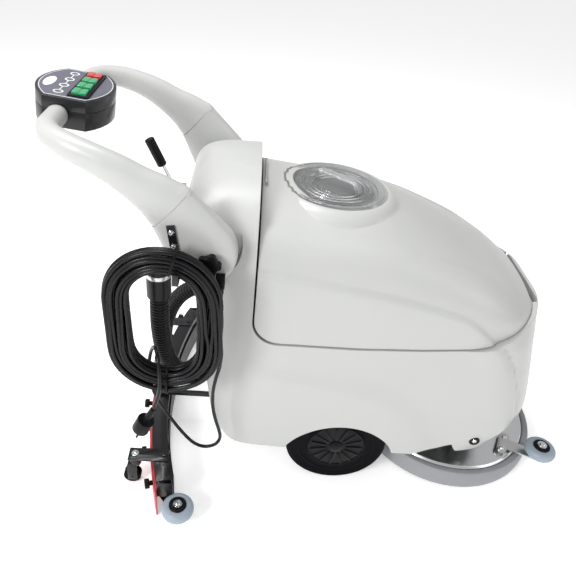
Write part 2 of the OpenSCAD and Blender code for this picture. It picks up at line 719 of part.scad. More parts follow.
// A strip that follows the squeegee's curve
module strip(r_in, t, z, h, half) {
  sweep_a = asin(half / squeegee_r);
  translate([640, 0, z]) rotate([0, 0, 180 - sweep_a])
    rotate_extrude(angle = 2 * sweep_a, $fn = 200)
      translate([r_in, 0]) square([t, h]);
}
bar_in = squeegee_r - bar_w / 2;
function bar_x(y) = 640 - sqrt(squeegee_r ^ 2 - y ^ 2);
module squeegee_bar() {
  color([0.07, 0.07, 0.08]) machine() {
    difference() {
      union() {
        strip(bar_in, bar_w, bar_top - 4, 4, bar_half);
        strip(bar_in, 3, bar_low, bar_top - bar_low - 3, bar_half);
        strip(bar_in + bar_w - 3, 3, bar_low, bar_top - bar_low - 3, bar_half);
        translate([swivel_x, 0, bar_top - 1]) cylinder(r = port_r, h = 51);
        translate([swivel_x, 0, bar_top - 1]) cylinder(r = port_r + 8, h = 5);
      }
      translate([swivel_x, 0, bar_top - 10]) cylinder(r = port_r - 4, h = 80);
    }
    both_sides() {
      // end plates with the rollers' bolts
      translate([bar_x(bar_half) - 15, bar_half - 8, bar_low - 18]) cube([30, 5, 60]);
      translate([0, 0, bar_low - 20]) linear_extrude(4) polygon([
        [bar_x(bar_half) - 16, bar_half - 20], [bar_x(bar_half) + 10, bar_half - 20],
        [end_roller_x + 14, end_roller_y - 8], [end_roller_x - 4, end_roller_y + 15],
        [bar_x(bar_half) - 16, bar_half]]);
      translate([end_roller_x, end_roller_y, bar_low - 20.5]) cylinder(r = 16, h = 5);
      translate([end_roller_x, end_roller_y, bar_low - 20]) {
        cylinder(d = 10, h = roller_t + 12);
        translate([0, 0, 4]) cylinder(d = 22, h = end_roller_z - bar_low + 20 - roller_t / 2 - 4);
        translate([0, 0, end_roller_z - bar_low + 20 + roller_t / 2]) cylinder(d = 22, h = 5);
      }
      // caster brackets
      translate([caster_x - 16, caster_y - 18, bar_top]) cube([bar_x(caster_y) - caster_x + 34, 36, 4]);
      translate([caster_x, caster_y, bar_top - 25]) cylinder(d = 8, h = 36 - 5);
      translate([bar_x(caster_y) + 6, caster_y, bar_top + 3]) cylinder(d = 14, h = 7);
    }
  }
}
module front_blade() {
  color([0.7, 0.68, 0.62]) machine() strip(bar_in - 4.8, 4, 1, bar_top - 24, bar_half - 22);
}
module rear_blade() {
  color([0.75, 0.15, 0.18]) machine() {
    strip(bar_in + bar_w + 3.9, 3.5, 1, bar_top - 26, bar_half + 24);
    // clamping strap
    color([0.35, 0.35, 0.36]) strip(bar_in + bar_w + 0.5, 3, 40, 40, bar_half + 4);
  }
}
module blade_knobs() {
  color(black) machine() both_sides()
    for (y = [62, 150, 218, 310])
      translate([640, 0, 66]) rotate([0, 0, 180 - asin(y / squeegee_r)])
        translate([bar_in + bar_w + 7.7, 0, 0]) rotate([0, 90, 0]) {
          cylinder(r = 6, h = 12);
          translate([0, 0, 8]) cylinder(r = 12, h = 12);
        }
}
module left_squeegee_roller() { roller(end_roller_x, end_roller_y, end_roller_z, 10); }
module right_squeegee_roller() { roller(end_roller_x, -end_roller_y, end_roller_z, 10); }
caster_trail = 10;
module caster_fork() {
  color([0.1, 0.1, 0.11]) machine() translate([caster_x, caster_y, 0]) {
    difference() {
      translate([0, 0, 68]) cylinder(r = 14, h = 27);
      translate([0, 0, 60]) cylinder(r = 4 + run_fit, h = 40);
    }
    for (s = [-1, 1]) {
      translate([-caster_trail - 10, s * 13 - 1.5, 1 + caster_d / 2 - 8])
        cube([24, 3, 68 - caster_d / 2 + 7]);
    }
    translate([-caster_trail - 10, -14, 62]) cube([24, 28, 8]);
    translate([-caster_trail, 16, 1 + caster_d / 2]) rotate([90, 0, 0]) cylinder(r = 3, h = 32);
  }
}
module caster_wheel() {
  color([0.15, 0.15, 0.16]) machine()
    translate([caster_x - caster_trail, caster_y + 10.5, 1 + caster_d / 2])
      rotate([90, 0, 0]) difference() {
        cylinder(d = caster_d, h = 21);
        translate([0, 0, -1]) cylinder(r = 3 + run_fit, h = 30);
      }
}
module left_caster_fork() { caster_fork(); }
module right_caster_fork() { mirror([0, 1, 0]) caster_fork(); }
module left_caster_wheel() { caster_wheel(); }
module right_caster_wheel() { mirror([0, 1, 0]) caster_wheel(); }

// --- hoses ------------------------------------------------------------------
vacuum_route = [[-349, 0, 440], [-385, 0, 434], [-420, 0, 408], [-447, 0, 362], [-463, 0, 300],
  [-469, 0, 230], [-470, 0, 190], [-470, 0, 147]];
drain_route = [[-437, -215, 641], [-437, -215, 560], [-437, -215, 480], [-431, -209, 410],
  [-416, -197, 350], [-392, -178, 308], [-370, -160, 290], [-352, -146, 286]];
hose_rings = 28;
// A hose whose collars are this much thicker, between given shares of its length
module hose(route, collars) {
  p = smooth_route(route, hose_rings);
  r = [for (i = [0:hose_rings]) hose_d / 2 + curve(collars, i / hose_rings)];
  skin(tube_rings(p, r, r, [0, 1, 0], 16));
}
module vacuum_hose() {
  color(black) machine() hose(vacuum_route, [[0, 0], [0.8, 0], [0.9, 6], [1, 6]]);
}
module drain_hose() {
  color(black) machine() hose(drain_route, [[0, 5], [0.12, 5], [0.2, 0], [1, 0]]);
}

lower_body();
base_frame();
drive_axle();
left_tyre();
left_hub_cover();
right_tyre();
right_hub_cover();
vacuum_motor();
brush_motor();
deck_cover();
bumper_ring();
brush_disc();
brush_bristles();
roller_brackets();
left_front_roller();
right_front_roller();
recovery_tank();
tank_hinge_pin();
lid_gasket();
tank_lid();
float_cage();
float_ball();
left_arm();
right_arm();
left_pivot_cover();
right_pivot_cover();
left_clamp_knob();
right_clamp_knob();
box_base();
box_top();
control_label();
switch_bezel();
vacuum_switch();
water_switch();
brush_switch();
power_switch();
control_board();
cable_hook();
cable_gland();
cord_lead();
cord_coil();
mains_plug();
lever_bracket();
lift_lever();
lever_grip();
lift_arm();
squeegee_bar();
front_blade();
rear_blade();
blade_knobs();
left_squeegee_roller();
right_squeegee_roller();
left_caster_fork();
left_caster_wheel();
right_caster_fork();
right_caster_wheel();
vacuum_hose();
drain_hose();
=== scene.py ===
"""Walk-behind wet and dry floor scrubber: its moulded shells, trim, hoses, lead and finishes.

Lengths in the tables are millimetres from the drive axle's middle, X forwards, Y to the left,
Z up from the floor. at() turns them into the frame's metres.
"""

import math

import bmesh
import bpy
from mathutils import Matrix, Vector


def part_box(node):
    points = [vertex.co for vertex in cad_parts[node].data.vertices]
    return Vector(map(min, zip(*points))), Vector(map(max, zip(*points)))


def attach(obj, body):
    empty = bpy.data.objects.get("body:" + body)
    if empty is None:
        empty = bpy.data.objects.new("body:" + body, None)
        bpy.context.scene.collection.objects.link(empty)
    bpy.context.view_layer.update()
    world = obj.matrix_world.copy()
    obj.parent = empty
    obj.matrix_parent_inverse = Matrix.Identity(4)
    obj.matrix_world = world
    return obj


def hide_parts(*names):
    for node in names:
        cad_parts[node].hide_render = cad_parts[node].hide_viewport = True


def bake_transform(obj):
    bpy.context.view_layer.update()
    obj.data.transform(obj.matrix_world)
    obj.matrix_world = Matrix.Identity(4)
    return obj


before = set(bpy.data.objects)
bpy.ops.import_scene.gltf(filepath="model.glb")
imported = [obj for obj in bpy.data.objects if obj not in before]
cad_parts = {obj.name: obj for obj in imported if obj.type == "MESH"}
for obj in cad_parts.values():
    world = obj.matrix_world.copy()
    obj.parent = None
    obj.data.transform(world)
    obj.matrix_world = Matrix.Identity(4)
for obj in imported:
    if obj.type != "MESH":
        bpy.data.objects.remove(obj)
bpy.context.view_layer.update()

MM = 0.001
tyre_low, tyre_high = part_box("left_tyre")
AXLE_X = (tyre_low.x + tyre_high.x) / 2


def at(x, y, z):
    return Vector((AXLE_X + x * MM, y * MM, z * MM))


# --- camera ------------------------------------------------------------------
VIEW_AZIMUTH = -1.56
VIEW_DROP = 34.08
VIEW_ROLL = 4.51
VIEW_PLACE = (-0.20033, -1.17933, 1.30285)
LENS = 35.67
SHIFT_X = 0.0527
SHIFT_Y = -0.0341
eye = bpy.data.objects.new("eye", bpy.data.cameras.new("eye"))
bpy.context.scene.collection.objects.link(eye)
eye.data.sensor_width = 36
eye.data.lens = LENS
eye.data.shift_x = SHIFT_X
eye.data.shift_y = SHIFT_Y
turn = (Matrix.Rotation(math.radians(VIEW_AZIMUTH), 4, "Z")
        @ Matrix.Rotation(math.radians(90 - VIEW_DROP), 4, "X")
        @ Matrix.Rotation(math.radians(VIEW_ROLL), 4, "Z"))
eye.matrix_world = Matrix.Translation(VIEW_PLACE) @ turn
bpy.context.scene.camera = eye


# --- curves along tables -----------------------------------------------------
def curve(table, u):
    """Passes smoothly through a table of [position, value] pairs, as the shells' outlines do."""
    last = len(table) - 1
    i = 0
    while i < last - 1 and u >= table[i + 1][0]:
        i += 1
    (u0, v0), (u1, v1) = table[i], table[i + 1]

    def slope(k):
        a, b = max(k - 1, 0), min(k + 1, last)
        return (table[b][1] - table[a][1]) / (table[b][0] - table[a][0])

    h = u1 - u0
    s = (u - u0) / h
    return ((2 * s**3 - 3 * s**2 + 1) * v0 + (s**3 - 2 * s**2 + s) * h * slope(i)
            + (3 * s**2 - 2 * s**3) * v1 + (s**3 - s**2) * h * slope(i + 1))


def straight(table, u):
    """Straight lines between a table's [position, value] pairs, and level beyond its ends."""
    if u <= table[0][0]:
        return table[0][1]
    for (u0, v0), (u1, v1) in zip(table, table[1:]):
        if u <= u1:
            return v0 + (v1 - v0) * (u - u0) / (u1 - u0)
    return table[-1][1]


def ease(t):
    t = min(max(t, 0), 1)
    return t * t * (3 - 2 * t)


def smooth_route(points, count):
    m = len(points) - 1
    tables = [[[k, p[axis]] for k, p in enumerate(points)] for axis in range(3)]
    return [Vector([curve(tables[axis], m * i / count) for axis in range(3)])
            for i in range(count + 1)]


# --- meshes ------------------------------------------------------------------
def piece(name, bm, body, finish, sharp=35):
    """An object of a finished bmesh, with smooth faces between edges sharper than sharp degrees."""
    mesh = bpy.data.meshes.new(name)
    for face in bm.faces:
        face.smooth = True
    bm.to_mesh(mesh)
    bm.free()
    mesh.set_sharp_from_angle(angle=math.radians(sharp))
    obj = bpy.data.objects.new(name, mesh)
    bpy.context.scene.collection.objects.link(obj)
    if finish:
        mesh.materials.append(finish)
    if body:
        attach(obj, body)
    return obj


def loft(rings):
    """A closed skin through rings that have the same number of points."""
    bm = bmesh.new()
    rows = [[bm.verts.new(p) for p in ring] for ring in rings]
    for low, high in zip(rows, rows[1:]):
        for j in range(len(low)):
            k = (j + 1) % len(low)
            bm.faces.new((low[j], low[k], high[k], high[j]))
    bm.faces.new(rows[0][::-1])
    bm.faces.new(rows[-1])
    bmesh.ops.recalc_face_normals(bm, faces=bm.faces)
    return bm


def round_corner(angle, square):
    """The cosine and sine of an angle, pushed out towards a square's corners below 1."""
    return [math.copysign(abs(v) ** square, v) for v in (math.cos(angle), math.sin(angle))]


def tube(route, ups, sides, ref, around=24, square=1.0):
    """Rings of the given half sizes round a route. square below 1 flattens the ring's sides."""
    rings = []
    for i, p in enumerate(route):
        ahead = (route[min(i + 1, len(route) - 1)] - route[max(i - 1, 0)]).normalized()
        side = ref.cross(ahead).normalized()
        up = ahead.cross(side)
        ring = []
        for j in range(around):
            c, s = round_corner(2 * math.pi * j / around, square)
            ring.append(p + side * c * sides[i] + up * s * ups[i])
        rings.append([at(*q) for q in ring])
    return loft(rings)


def thicken(bm, faces, step):
    """Carries flat faces along a step, as a closed solid."""
    grown = bmesh.ops.extrude_face_region(bm, geom=faces)["geom"]
    verts = [v for v in grown if isinstance(v, bmesh.types.BMVert)]
    bmesh.ops.translate(bm, verts=verts, vec=step)


def prism(outline, y0, y1):
    """A side-view outline of [x, z] pairs, carried across from y0 to y1."""
    bm = bmesh.new()
    face = bm.faces.new([bm.verts.new(at(x, y0, z)) for x, z in outline])
    thicken(bm, [face], (0, (y1 - y0) * MM, 0))
    bmesh.ops.recalc_face_normals(bm, faces=bm.faces)
    return bm


def plate(outline, thick, place):
    """A flat outline of [x, y] pairs given its thickness, then set in its place."""
    bm = bmesh.new()
    face = bm.faces.new([bm.verts.new((x * MM, y * MM, 0)) for x, y in outline])
    thicken(bm, [face], (0, 0, thick * MM))
    bmesh.ops.transform(bm, matrix=place, verts=bm.verts)
    bmesh.ops.recalc_face_normals(bm, faces=bm.faces)
    return bm


def turned(profile, place, steps=64, closed=False):
    """A profile of [radius, height] pairs turned about its own Z axis, then set in its place."""
    bm = bmesh.new()
    verts = [bm.verts.new((r * MM, 0, z * MM)) for r, z in profile]
    edges = [bm.edges.new(pair) for pair in zip(verts, verts[1:])]
    if closed:
        edges.append(bm.edges.new((verts[-1], verts[0])))
    bmesh.ops.spin(bm, geom=verts + edges, cent=(0, 0, 0), axis=(0, 0, 1),
                   angle=2 * math.pi, steps=steps, use_merge=True)
    bmesh.ops.remove_doubles(bm, verts=bm.verts, dist=1e-6)
    bmesh.ops.recalc_face_normals(bm, faces=bm.faces)
    bmesh.ops.transform(bm, matrix=place, verts=bm.verts)
    return bm


def rod(r, length, place, sides=32):
    bm = bmesh.new()
    bmesh.ops.create_cone(bm, cap_ends=True, segments=sides, radius1=r * MM, radius2=r * MM,
                          depth=length * MM, matrix=place)
    return bm


def block(low, high):
    bm = bmesh.new()
    bmesh.ops.create_cube(bm, size=1)
    a, b = at(*low), at(*high)
    bmesh.ops.scale(bm, vec=b - a, verts=bm.verts)
    bmesh.ops.translate(bm, vec=(a + b) / 2, verts=bm.verts)
    return bm


def softened(bm, width, segments=2, angle=30):
    """Rounds every edge that is sharper than angle degrees."""
    limit = math.radians(angle)
    edges = [e for e in bm.edges if len(e.link_faces) == 2 and e.calc_face_angle(0) > limit]
    bmesh.ops.bevel(bm, geom=edges, offset=width * MM, offset_type="OFFSET", affect="EDGES",
                    segments=segments, profile=0.5, material=-1, clamp_overlap=True)
    return bm


def from_node(node, name, body, finish, width=1.0, segments=2):
    """A copy of a CAD node with its triangles joined up and its edges rounded."""
    bm = bmesh.new()
    bm.from_mesh(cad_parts[node].data)
    bmesh.ops.remove_doubles(bm, verts=bm.verts, dist=2e-6)
    bmesh.ops.dissolve_limit(bm, angle_limit=math.radians(0.4), verts=bm.verts, edges=bm.edges)
    softened(bm, width, segments)
    obj = piece(name, bm, body, finish)
    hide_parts(node)
    return obj


def carve(obj, cutters, operation="DIFFERENCE"):
    """Cuts each bmesh out of the object, or keeps what lies inside it."""
    for bm in cutters:
        cutter = piece("cutter", bm, None, None)
        change = obj.modifiers.new("cut", "BOOLEAN")
        change.operation = operation
        change.solver = "EXACT"
        change.object = cutter
        graph = bpy.context.evaluated_depsgraph_get()
        mesh = bpy.data.meshes.new_from_object(obj.evaluated_get(graph))
        obj.modifiers.clear()
        old, obj.data = obj.data, mesh
        bpy.data.meshes.remove(old)
        spent = cutter.data
        bpy.data.objects.remove(cutter)
        bpy.data.meshes.remove(spent)
    return obj


def smooth_again(obj, sharp=32):
    for face in obj.data.polygons:
        face.use_smooth = True
    obj.data.set_sharp_from_angle(angle=math.radians(sharp))


def coat_all(obj, used):
    """One finish over every face of a carved shell."""
    obj.data.materials.clear()
    obj.data.materials.append(used)
    obj.data.polygons.foreach_set("material_index", [0] * len(obj.data.polygons))
    smooth_again(obj)


def hollow(room):
    """A room's mesh, ready to be cut out of the shell round it."""
    bm = bmesh.new()
    bm.from_mesh(room.data)
    bpy.data.objects.remove(room)
    return bm


# --- shared effects ------------------------------------------------------------
def effect(name, inputs, outputs):
    group = bpy.data.node_groups.new(name, "ShaderNodeTree")
    for label, kind, value in inputs:
        socket = group.interface.new_socket(label, in_out="INPUT", socket_type=kind)
        if value is not None:
            socket.default_value = value
    for label, kind in outputs:
        group.interface.new_socket(label, in_out="OUTPUT", socket_type=kind)
    start = group.nodes.new("NodeGroupInput")
    end = group.nodes.new("NodeGroupOutput")
    return group, start, end


def add(tree, kind, **values):
    """A node with its properties and numbered or named inputs set; node outputs are linked."""
    node = tree.nodes.new("ShaderNode" + kind)
    for key, value in values.items():
        if hasattr(node, key):
            setattr(node, key, value)
            continue
        label = key.replace("_", " ")
        socket = node.inputs[int(key[1:])] if key[1:].isdigit() else node.inputs[label]
        if isinstance(value, bpy.types.NodeSocket):
            tree.links.new(value, socket)
        else:
            socket.default_value = value
    return node


def maths(tree, operation, a, b=None, clamp=False):
    node = tree.nodes.new("ShaderNodeMath")
    node.operation = operation
    node.use_clamp = clamp
    for socket, value in zip(node.inputs, (a, b)):
        if isinstance(value, bpy.types.NodeSocket):
            tree.links.new(value, socket)
        elif value is not None:
            socket.default_value = value
    return node.outputs[0]


def make_grain():
    """Fine moulded grain with a slow change of tone over a hand's width."""
    group, start, end = effect(
        "moulded_grain",
        [("Vector", "NodeSocketVector", None), ("Grain", "NodeSocketFloat", 900.0),
         ("Mottle", "NodeSocketFloat", 9.0)],
        [("Height", "NodeSocketFloat"), ("Tone", "NodeSocketFloat"), ("Gloss", "NodeSocketFloat")])
    fine = add(group, "TexNoise", Vector=start.outputs["Vector"], Scale=start.outputs["Grain"],
               Detail=2.0, Roughness=0.5)
    slow = add(group, "TexNoise", Vector=start.outputs["Vector"], Scale=start.outputs["Mottle"],
               Detail=4.0, Roughness=0.6)
    smear = add(group, "TexNoise", Vector=start.outputs["Vector"], Scale=38.0, Detail=5.0,
                Roughness=0.7, Distortion=0.6)
    group.links.new(fine.outputs[0], end.inputs["Height"])
    group.links.new(slow.outputs[0], end.inputs["Tone"])
    group.links.new(smear.outputs[0], end.inputs["Gloss"])
    return group


def make_edge_wear():
    """A mask of the edges that hands and walls rub, broken up by noise."""
    group, start, end = effect(
        "edge_wear",
        [("Vector", "NodeSocketVector", None), ("Width", "NodeSocketFloat", 0.002)],
        [("Mask", "NodeSocketFloat"), ("Normal", "NodeSocketVector")])
    rounded = add(group, "Bevel", samples=4, Radius=start.outputs["Width"])
    true = add(group, "NewGeometry")
    facing = add(group, "VectorMath", operation="DOT_PRODUCT", i0=rounded.outputs[0],
                 i1=true.outputs["Normal"])
    away = maths(group, "SUBTRACT", 1.0, facing.outputs["Value"])
    broken = add(group, "TexNoise", Vector=start.outputs["Vector"], Scale=140.0, Detail=4.0)
    keep = maths(group, "MULTIPLY", maths(group, "SUBTRACT", broken.outputs[0], 0.42), 5.0, True)
    mask = maths(group, "MULTIPLY", maths(group, "MULTIPLY", away, 6.0, True), keep, True)
    group.links.new(mask, end.inputs["Mask"])
    group.links.new(rounded.outputs[0], end.inputs["Normal"])
    return group


def make_dust():
    """A mask of the light dust that settles on what faces up."""
    group, start, end = effect(
        "settled_dust", [("Vector", "NodeSocketVector", None)], [("Mask", "NodeSocketFloat")])
    true = add(group, "NewGeometry")
    parts = add(group, "SeparateXYZ", Vector=true.outputs["Normal"])
    up = maths(group, "MULTIPLY", maths(group, "SUBTRACT", parts.outputs["Z"], 0.2), 1.3, True)
    patchy = add(group, "TexNoise", Vector=start.outputs["Vector"], Scale=22.0, Detail=6.0,
                 Roughness=0.7)
    spots = maths(group, "MULTIPLY", maths(group, "SUBTRACT", patchy.outputs[0], 0.4), 4.0, True)
    group.links.new(maths(group, "MULTIPLY", up, spots), end.inputs["Mask"])
    return group


GRAIN = make_grain()
EDGE_WEAR = make_edge_wear()
DUST = make_dust()
DUST_COLOUR = (0.30, 0.29, 0.27, 1)


def finish(name, colour, worn, rough, metal=0.0, grain=900.0, depth=0.00003, tone=0.06,
           wear=0.5, wear_width=0.0015, dust=0.08, gloss_spread=0.12, pattern=None, **plain):
    """A finish with grain, a slow tone, rubbed edges and dust. plain sets the shader's own sockets."""
    made = bpy.data.materials.new(name)
    made.use_nodes = True
    tree = made.node_tree
    tree.nodes.clear()
    out = tree.nodes.new("ShaderNodeOutputMaterial")
    shader = tree.nodes.new("ShaderNodeBsdfPrincipled")
    tree.links.new(shader.outputs[0], out.inputs["Surface"])
    place = tree.nodes.new("ShaderNodeTexCoord").outputs["Object"]
    skin = add(tree, "Group", node_tree=GRAIN, Vector=place, Grain=grain)
    edge = add(tree, "Group", node_tree=EDGE_WEAR, Vector=place, Width=wear_width)
    settled = add(tree, "Group", node_tree=DUST, Vector=place)
    dark = tuple(c * (1 - tone) for c in colour[:3]) + (1,)
    light = tuple(min(c * (1 + tone), 1) for c in colour[:3]) + (1,)
    shade = add(tree, "Mix", data_type="RGBA", Factor=skin.outputs["Tone"])
    shade.inputs[6].default_value = dark
    shade.inputs[7].default_value = light
    base = shade.outputs[2]
    height = skin.outputs["Height"]
    if pattern:
        base, height = pattern(tree, place, base, height)
    rubbed = add(tree, "Mix", data_type="RGBA",
                 Factor=maths(tree, "MULTIPLY", edge.outputs["Mask"], wear))
    tree.links.new(base, rubbed.inputs[6])
    rubbed.inputs[7].default_value = worn
    dusty = add(tree, "Mix", data_type="RGBA",
                Factor=maths(tree, "MULTIPLY", settled.outputs["Mask"], dust))
    tree.links.new(rubbed.outputs[2], dusty.inputs[6])
    dusty.inputs[7].default_value = DUST_COLOUR
    tree.links.new(dusty.outputs[2], shader.inputs["Base Color"])
    spread = maths(tree, "MULTIPLY_ADD", skin.outputs["Gloss"], gloss_spread)
    spread.node.inputs[2].default_value = rough - gloss_spread / 2
    duller = maths(tree, "MULTIPLY_ADD", settled.outputs["Mask"], dust)
    tree.links.new(spread, duller.node.inputs[2])
    tree.links.new(duller, shader.inputs["Roughness"])
    bump = add(tree, "Bump", Strength=1.0, Distance=depth, Height=height,
               Normal=edge.outputs["Normal"])
    tree.links.new(bump.outputs[0], shader.inputs["Normal"])
    shader.inputs["Metallic"].default_value = metal
    for key, value in plain.items():
        shader.inputs[key.replace("_", " ")].default_value = value
    made.diffuse_color = colour
    return made


def turned_marks(centre):
    """Fine rings left by polishing about an upright axis."""
    def pattern(tree, place, base, height):
        moved = add(tree, "Mapping", Vector=place)
        moved.inputs["Location"].default_value = (-centre.x, -centre.y, 0)
        parts = add(tree, "SeparateXYZ", Vector=moved.outputs[0])
        flat = add(tree, "CombineXYZ", X=parts.outputs["X"], Y=parts.outputs["Y"])
        radius = add(tree, "VectorMath", operation="LENGTH", i0=flat.outputs[0])
        rings = add(tree, "TexNoise", noise_dimensions="1D", W=radius.outputs["Value"],
                    Scale=2600.0, Detail=3.0)
        lines = add(tree, "Mix", data_type="RGBA", Factor=rings.outputs[0])
        lines.inputs[6].default_value = (0.55, 0.56, 0.58, 1)
        lines.inputs[7].default_value = (0.86, 0.87, 0.88, 1)
        return lines.outputs[2], rings.outputs[0]
    return pattern


def scratches(tree, place, base, height):
    """Long fine scratches, as on plated steel that is often wiped."""
    drawn = add(tree, "Mapping", Vector=place)
    drawn.inputs["Scale"].default_value = (40, 900, 900)
    lines = add(tree, "TexNoise", Vector=drawn.outputs[0], Scale=1.0, Detail=4.0, Roughness=0.7)
    return base, lines.outputs[0]


def flecks(tree, place, base, height):
    """The pressed grain of hard moulded rubber."""
    cells = add(tree, "TexVoronoi", Vector=place, Scale=420.0)
    return base, cells.outputs["Distance"]


def traces(tree, place, base, height):
    """Copper tracks under a circuit board's green lacquer."""
    bricks = add(tree, "TexBrick", Vector=place, Scale=90.0, Mortar_Size=0.03)
    bricks.inputs["Color1"].default_value = (0.01, 0.09, 0.03, 1)
    bricks.inputs["Color2"].default_value = (0.015, 0.12, 0.04, 1)
    bricks.inputs["Mortar"].default_value = (0.10, 0.20, 0.06, 1)
    return bricks.outputs["Color"], height


deck_low, deck_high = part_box("deck_cover")
DECK_CENTRE = (deck_low + deck_high) / 2
WHITE_WORN = (0.6, 0.6, 0.59, 1)
RUBBED = (0.05, 0.05, 0.052, 1)
SHELL = finish("moulded_shell", (0.46, 0.466, 0.452, 1), WHITE_WORN, 0.36, grain=520.0,
               depth=0.00006, tone=0.018, wear=0.25, wear_width=0.003, dust=0.03,
               Coat_Weight=0.12, Coat_Roughness=0.25, Specular_IOR_Level=0.45)
BLACK = finish("black_moulding", (0.0055, 0.0055, 0.0065, 1), RUBBED, 0.34, grain=1400.0,
               depth=0.00005, tone=0.2, wear=0.1, dust=0.0, Specular_IOR_Level=0.12)
SATIN_BLACK = finish("black_paint", (0.0055, 0.0055, 0.007, 1), (0.12, 0.12, 0.125, 1), 0.3,
                     grain=1100.0, depth=0.00004, tone=0.15, wear=0.35, dust=0.015,
                     Coat_Weight=0.15, Specular_IOR_Level=0.35)
FRAME_PAINT = finish("frame_paint", (0.07, 0.07, 0.075, 1), (0.4, 0.4, 0.41, 1), 0.45, tone=0.2)
CHROME = finish("chrome", (0.72, 0.73, 0.75, 1), (0.85, 0.85, 0.86, 1), 0.14, metal=1.0,
                depth=0.000006, wear=0.1, gloss_spread=0.08, pattern=scratches)
STEEL = finish("zinc_steel", (0.58, 0.58, 0.57, 1), (0.8, 0.8, 0.8, 1), 0.3, metal=1.0,
               depth=0.00001, tone=0.12, pattern=scratches)
ALUMINIUM = finish("polished_deck", (0.75, 0.76, 0.78, 1), (0.9, 0.9, 0.9, 1), 0.2, metal=1.0,
                   depth=0.000006, wear=0.2, dust=0.02, pattern=turned_marks(DECK_CENTRE))
TYRE = finish("tyre_rubber", (0.003, 0.003, 0.004, 1), (0.012, 0.012, 0.012, 1), 0.6,
              grain=800.0, depth=0.00012, tone=0.2, dust=0.0, Specular_IOR_Level=0.06)
BUMPER = finish("bumper_rubber", (0.27, 0.275, 0.29, 1), (0.4, 0.4, 0.41, 1), 0.5,
                depth=0.00006, tone=0.05, dust=0.1, pattern=flecks)
ROLLER = finish("roller_rubber", (0.29, 0.345, 0.41, 1), (0.42, 0.46, 0.5, 1), 0.45,
                depth=0.00005, tone=0.06, pattern=flecks)
RED_BLADE = finish("red_rubber", (0.42, 0.035, 0.05, 1), (0.6, 0.12, 0.12, 1), 0.42, tone=0.1,
                   Subsurface_Weight=0.1)
BRISTLE = finish("nylon_bristle", (0.02, 0.02, 0.022, 1), (0.1, 0.1, 0.1, 1), 0.5, tone=0.3)
CLEAR = finish("clear_lid", (0.93, 0.94, 0.95, 1), (1, 1, 1, 1), 0.06, depth=0.00001, tone=0.02,
               wear=0.3, dust=0.03, gloss_spread=0.05, Transmission_Weight=0.92, IOR=1.47)
LABEL = finish("panel_label", (0.095, 0.095, 0.13, 1), (0.5, 0.5, 0.55, 1), 0.33, grain=2500.0,
               depth=0.00002, tone=0.05, wear=0.3)
PRINT = finish("white_print", (0.78, 0.78, 0.80, 1), (0.9, 0.9, 0.9, 1), 0.4, tone=0.03)
GREEN = finish("green_rocker", (0.015, 0.30, 0.11, 1), (0.1, 0.5, 0.25, 1), 0.2, tone=0.1,
               Coat_Weight=0.6)
RED = finish("red_rocker", (0.50, 0.03, 0.025, 1), (0.7, 0.15, 0.1, 1), 0.2, tone=0.1,
             Coat_Weight=0.6)
BOARD = finish("circuit_board", (0.01, 0.1, 0.03, 1), (0.2, 0.3, 0.1, 1), 0.35, pattern=traces)
LEAD = finish("lead_sheath", (0.004, 0.004, 0.005, 1), (0.008, 0.008, 0.009, 1), 0.28, grain=1600.0,
              depth=0.00003, tone=0.25, wear=0.0, dust=0.0, Specular_IOR_Level=0.22)
HOSE = finish("hose_rubber", (0.004, 0.004, 0.005, 1), (0.012, 0.012, 0.012, 1), 0.36, tone=0.2,
              dust=0.0, Specular_IOR_Level=0.25)
MOTOR = finish("motor_paint", (0.05, 0.05, 0.055, 1), (0.3, 0.3, 0.3, 1), 0.4, tone=0.15)
FLOAT = finish("float_plastic", (0.7, 0.7, 0.68, 1), (0.8, 0.8, 0.8, 1), 0.4, tone=0.05)
GASKET = finish("gasket_foam", (0.02, 0.02, 0.02, 1), (0.06, 0.06, 0.06, 1), 0.75, grain=1800.0,
                depth=0.0002, tone=0.2)

# --- mains lead ----------------------------------------------------------------
LEAD_D = 8
lead_in = [[-306, -275, 625.5], [-305, -275, 600], [-304, -275, 575], [-305, -279, 552],
           [-309, -286, 532]]
lead_out = [[-298, -309, 463], [-308, -308, 420], [-313, -305, 375], [-312, -299, 325],
            [-305, -292, 275], [-295, -287, 232], [-292, -283, 203], [-303, -281, 175],
            [-330, -280, 163], [-357, -280, 175], [-386, -279, 215], [-418, -275, 268],
            [-446, -270, 322], [-458, -267, 378], [-455, -266, 430], [-448, -270, 462],
            [-440, -285, 485], [-431, -305, 493], [-424, -325, 483], [-420, -338, 457],
            [-420, -342, 420], [-427, -341.5, 386], [-436, -340, 356]]
coil_x, coil_z = -413, 567
coil_straight = 124
coil_radii = [70.5, 79, 87.5, 96, 104.5, 113]
coil_layers = [-295, -303.5, -312, -320.5]
POINTS_PER_TURN = 30
CROSSING = 0.2


def winding_slots():
    """The radius and layer of each turn, back and forth across the coil."""
    slots = [(r, coil_layers[0]) for r in coil_radii[4::-1]]
    for k, y in enumerate(coil_layers[1:]):
        radii = coil_radii if k % 2 == 0 else coil_radii[::-1]
        slots += [(r, y) for r in radii]
    return slots


def round_the_coil(r, y, share):
    """A point on a turn with straight sides. share 0 is low on its front side, going down."""
    bend = math.pi * r
    run = share * 2 * (bend + coil_straight) + coil_straight * 0.8
    if run > 2 * (bend + coil_straight):
        run -= 2 * (bend + coil_straight)
    half = coil_straight / 2
    if run < coil_straight:
        return [coil_x + r, y, coil_z + half - run]
    if run < coil_straight + bend:
        a = (run - coil_straight) / r
        return [coil_x + r * math.cos(a), y, coil_z - half - r * math.sin(a)]
    if run < 2 * coil_straight + bend:
        return [coil_x - r, y, coil_z - half + run - coil_straight - bend]
    a = (run - 2 * coil_straight - bend) / r
    return [coil_x - r * math.cos(a), y, coil_z + half + r * math.sin(a)]


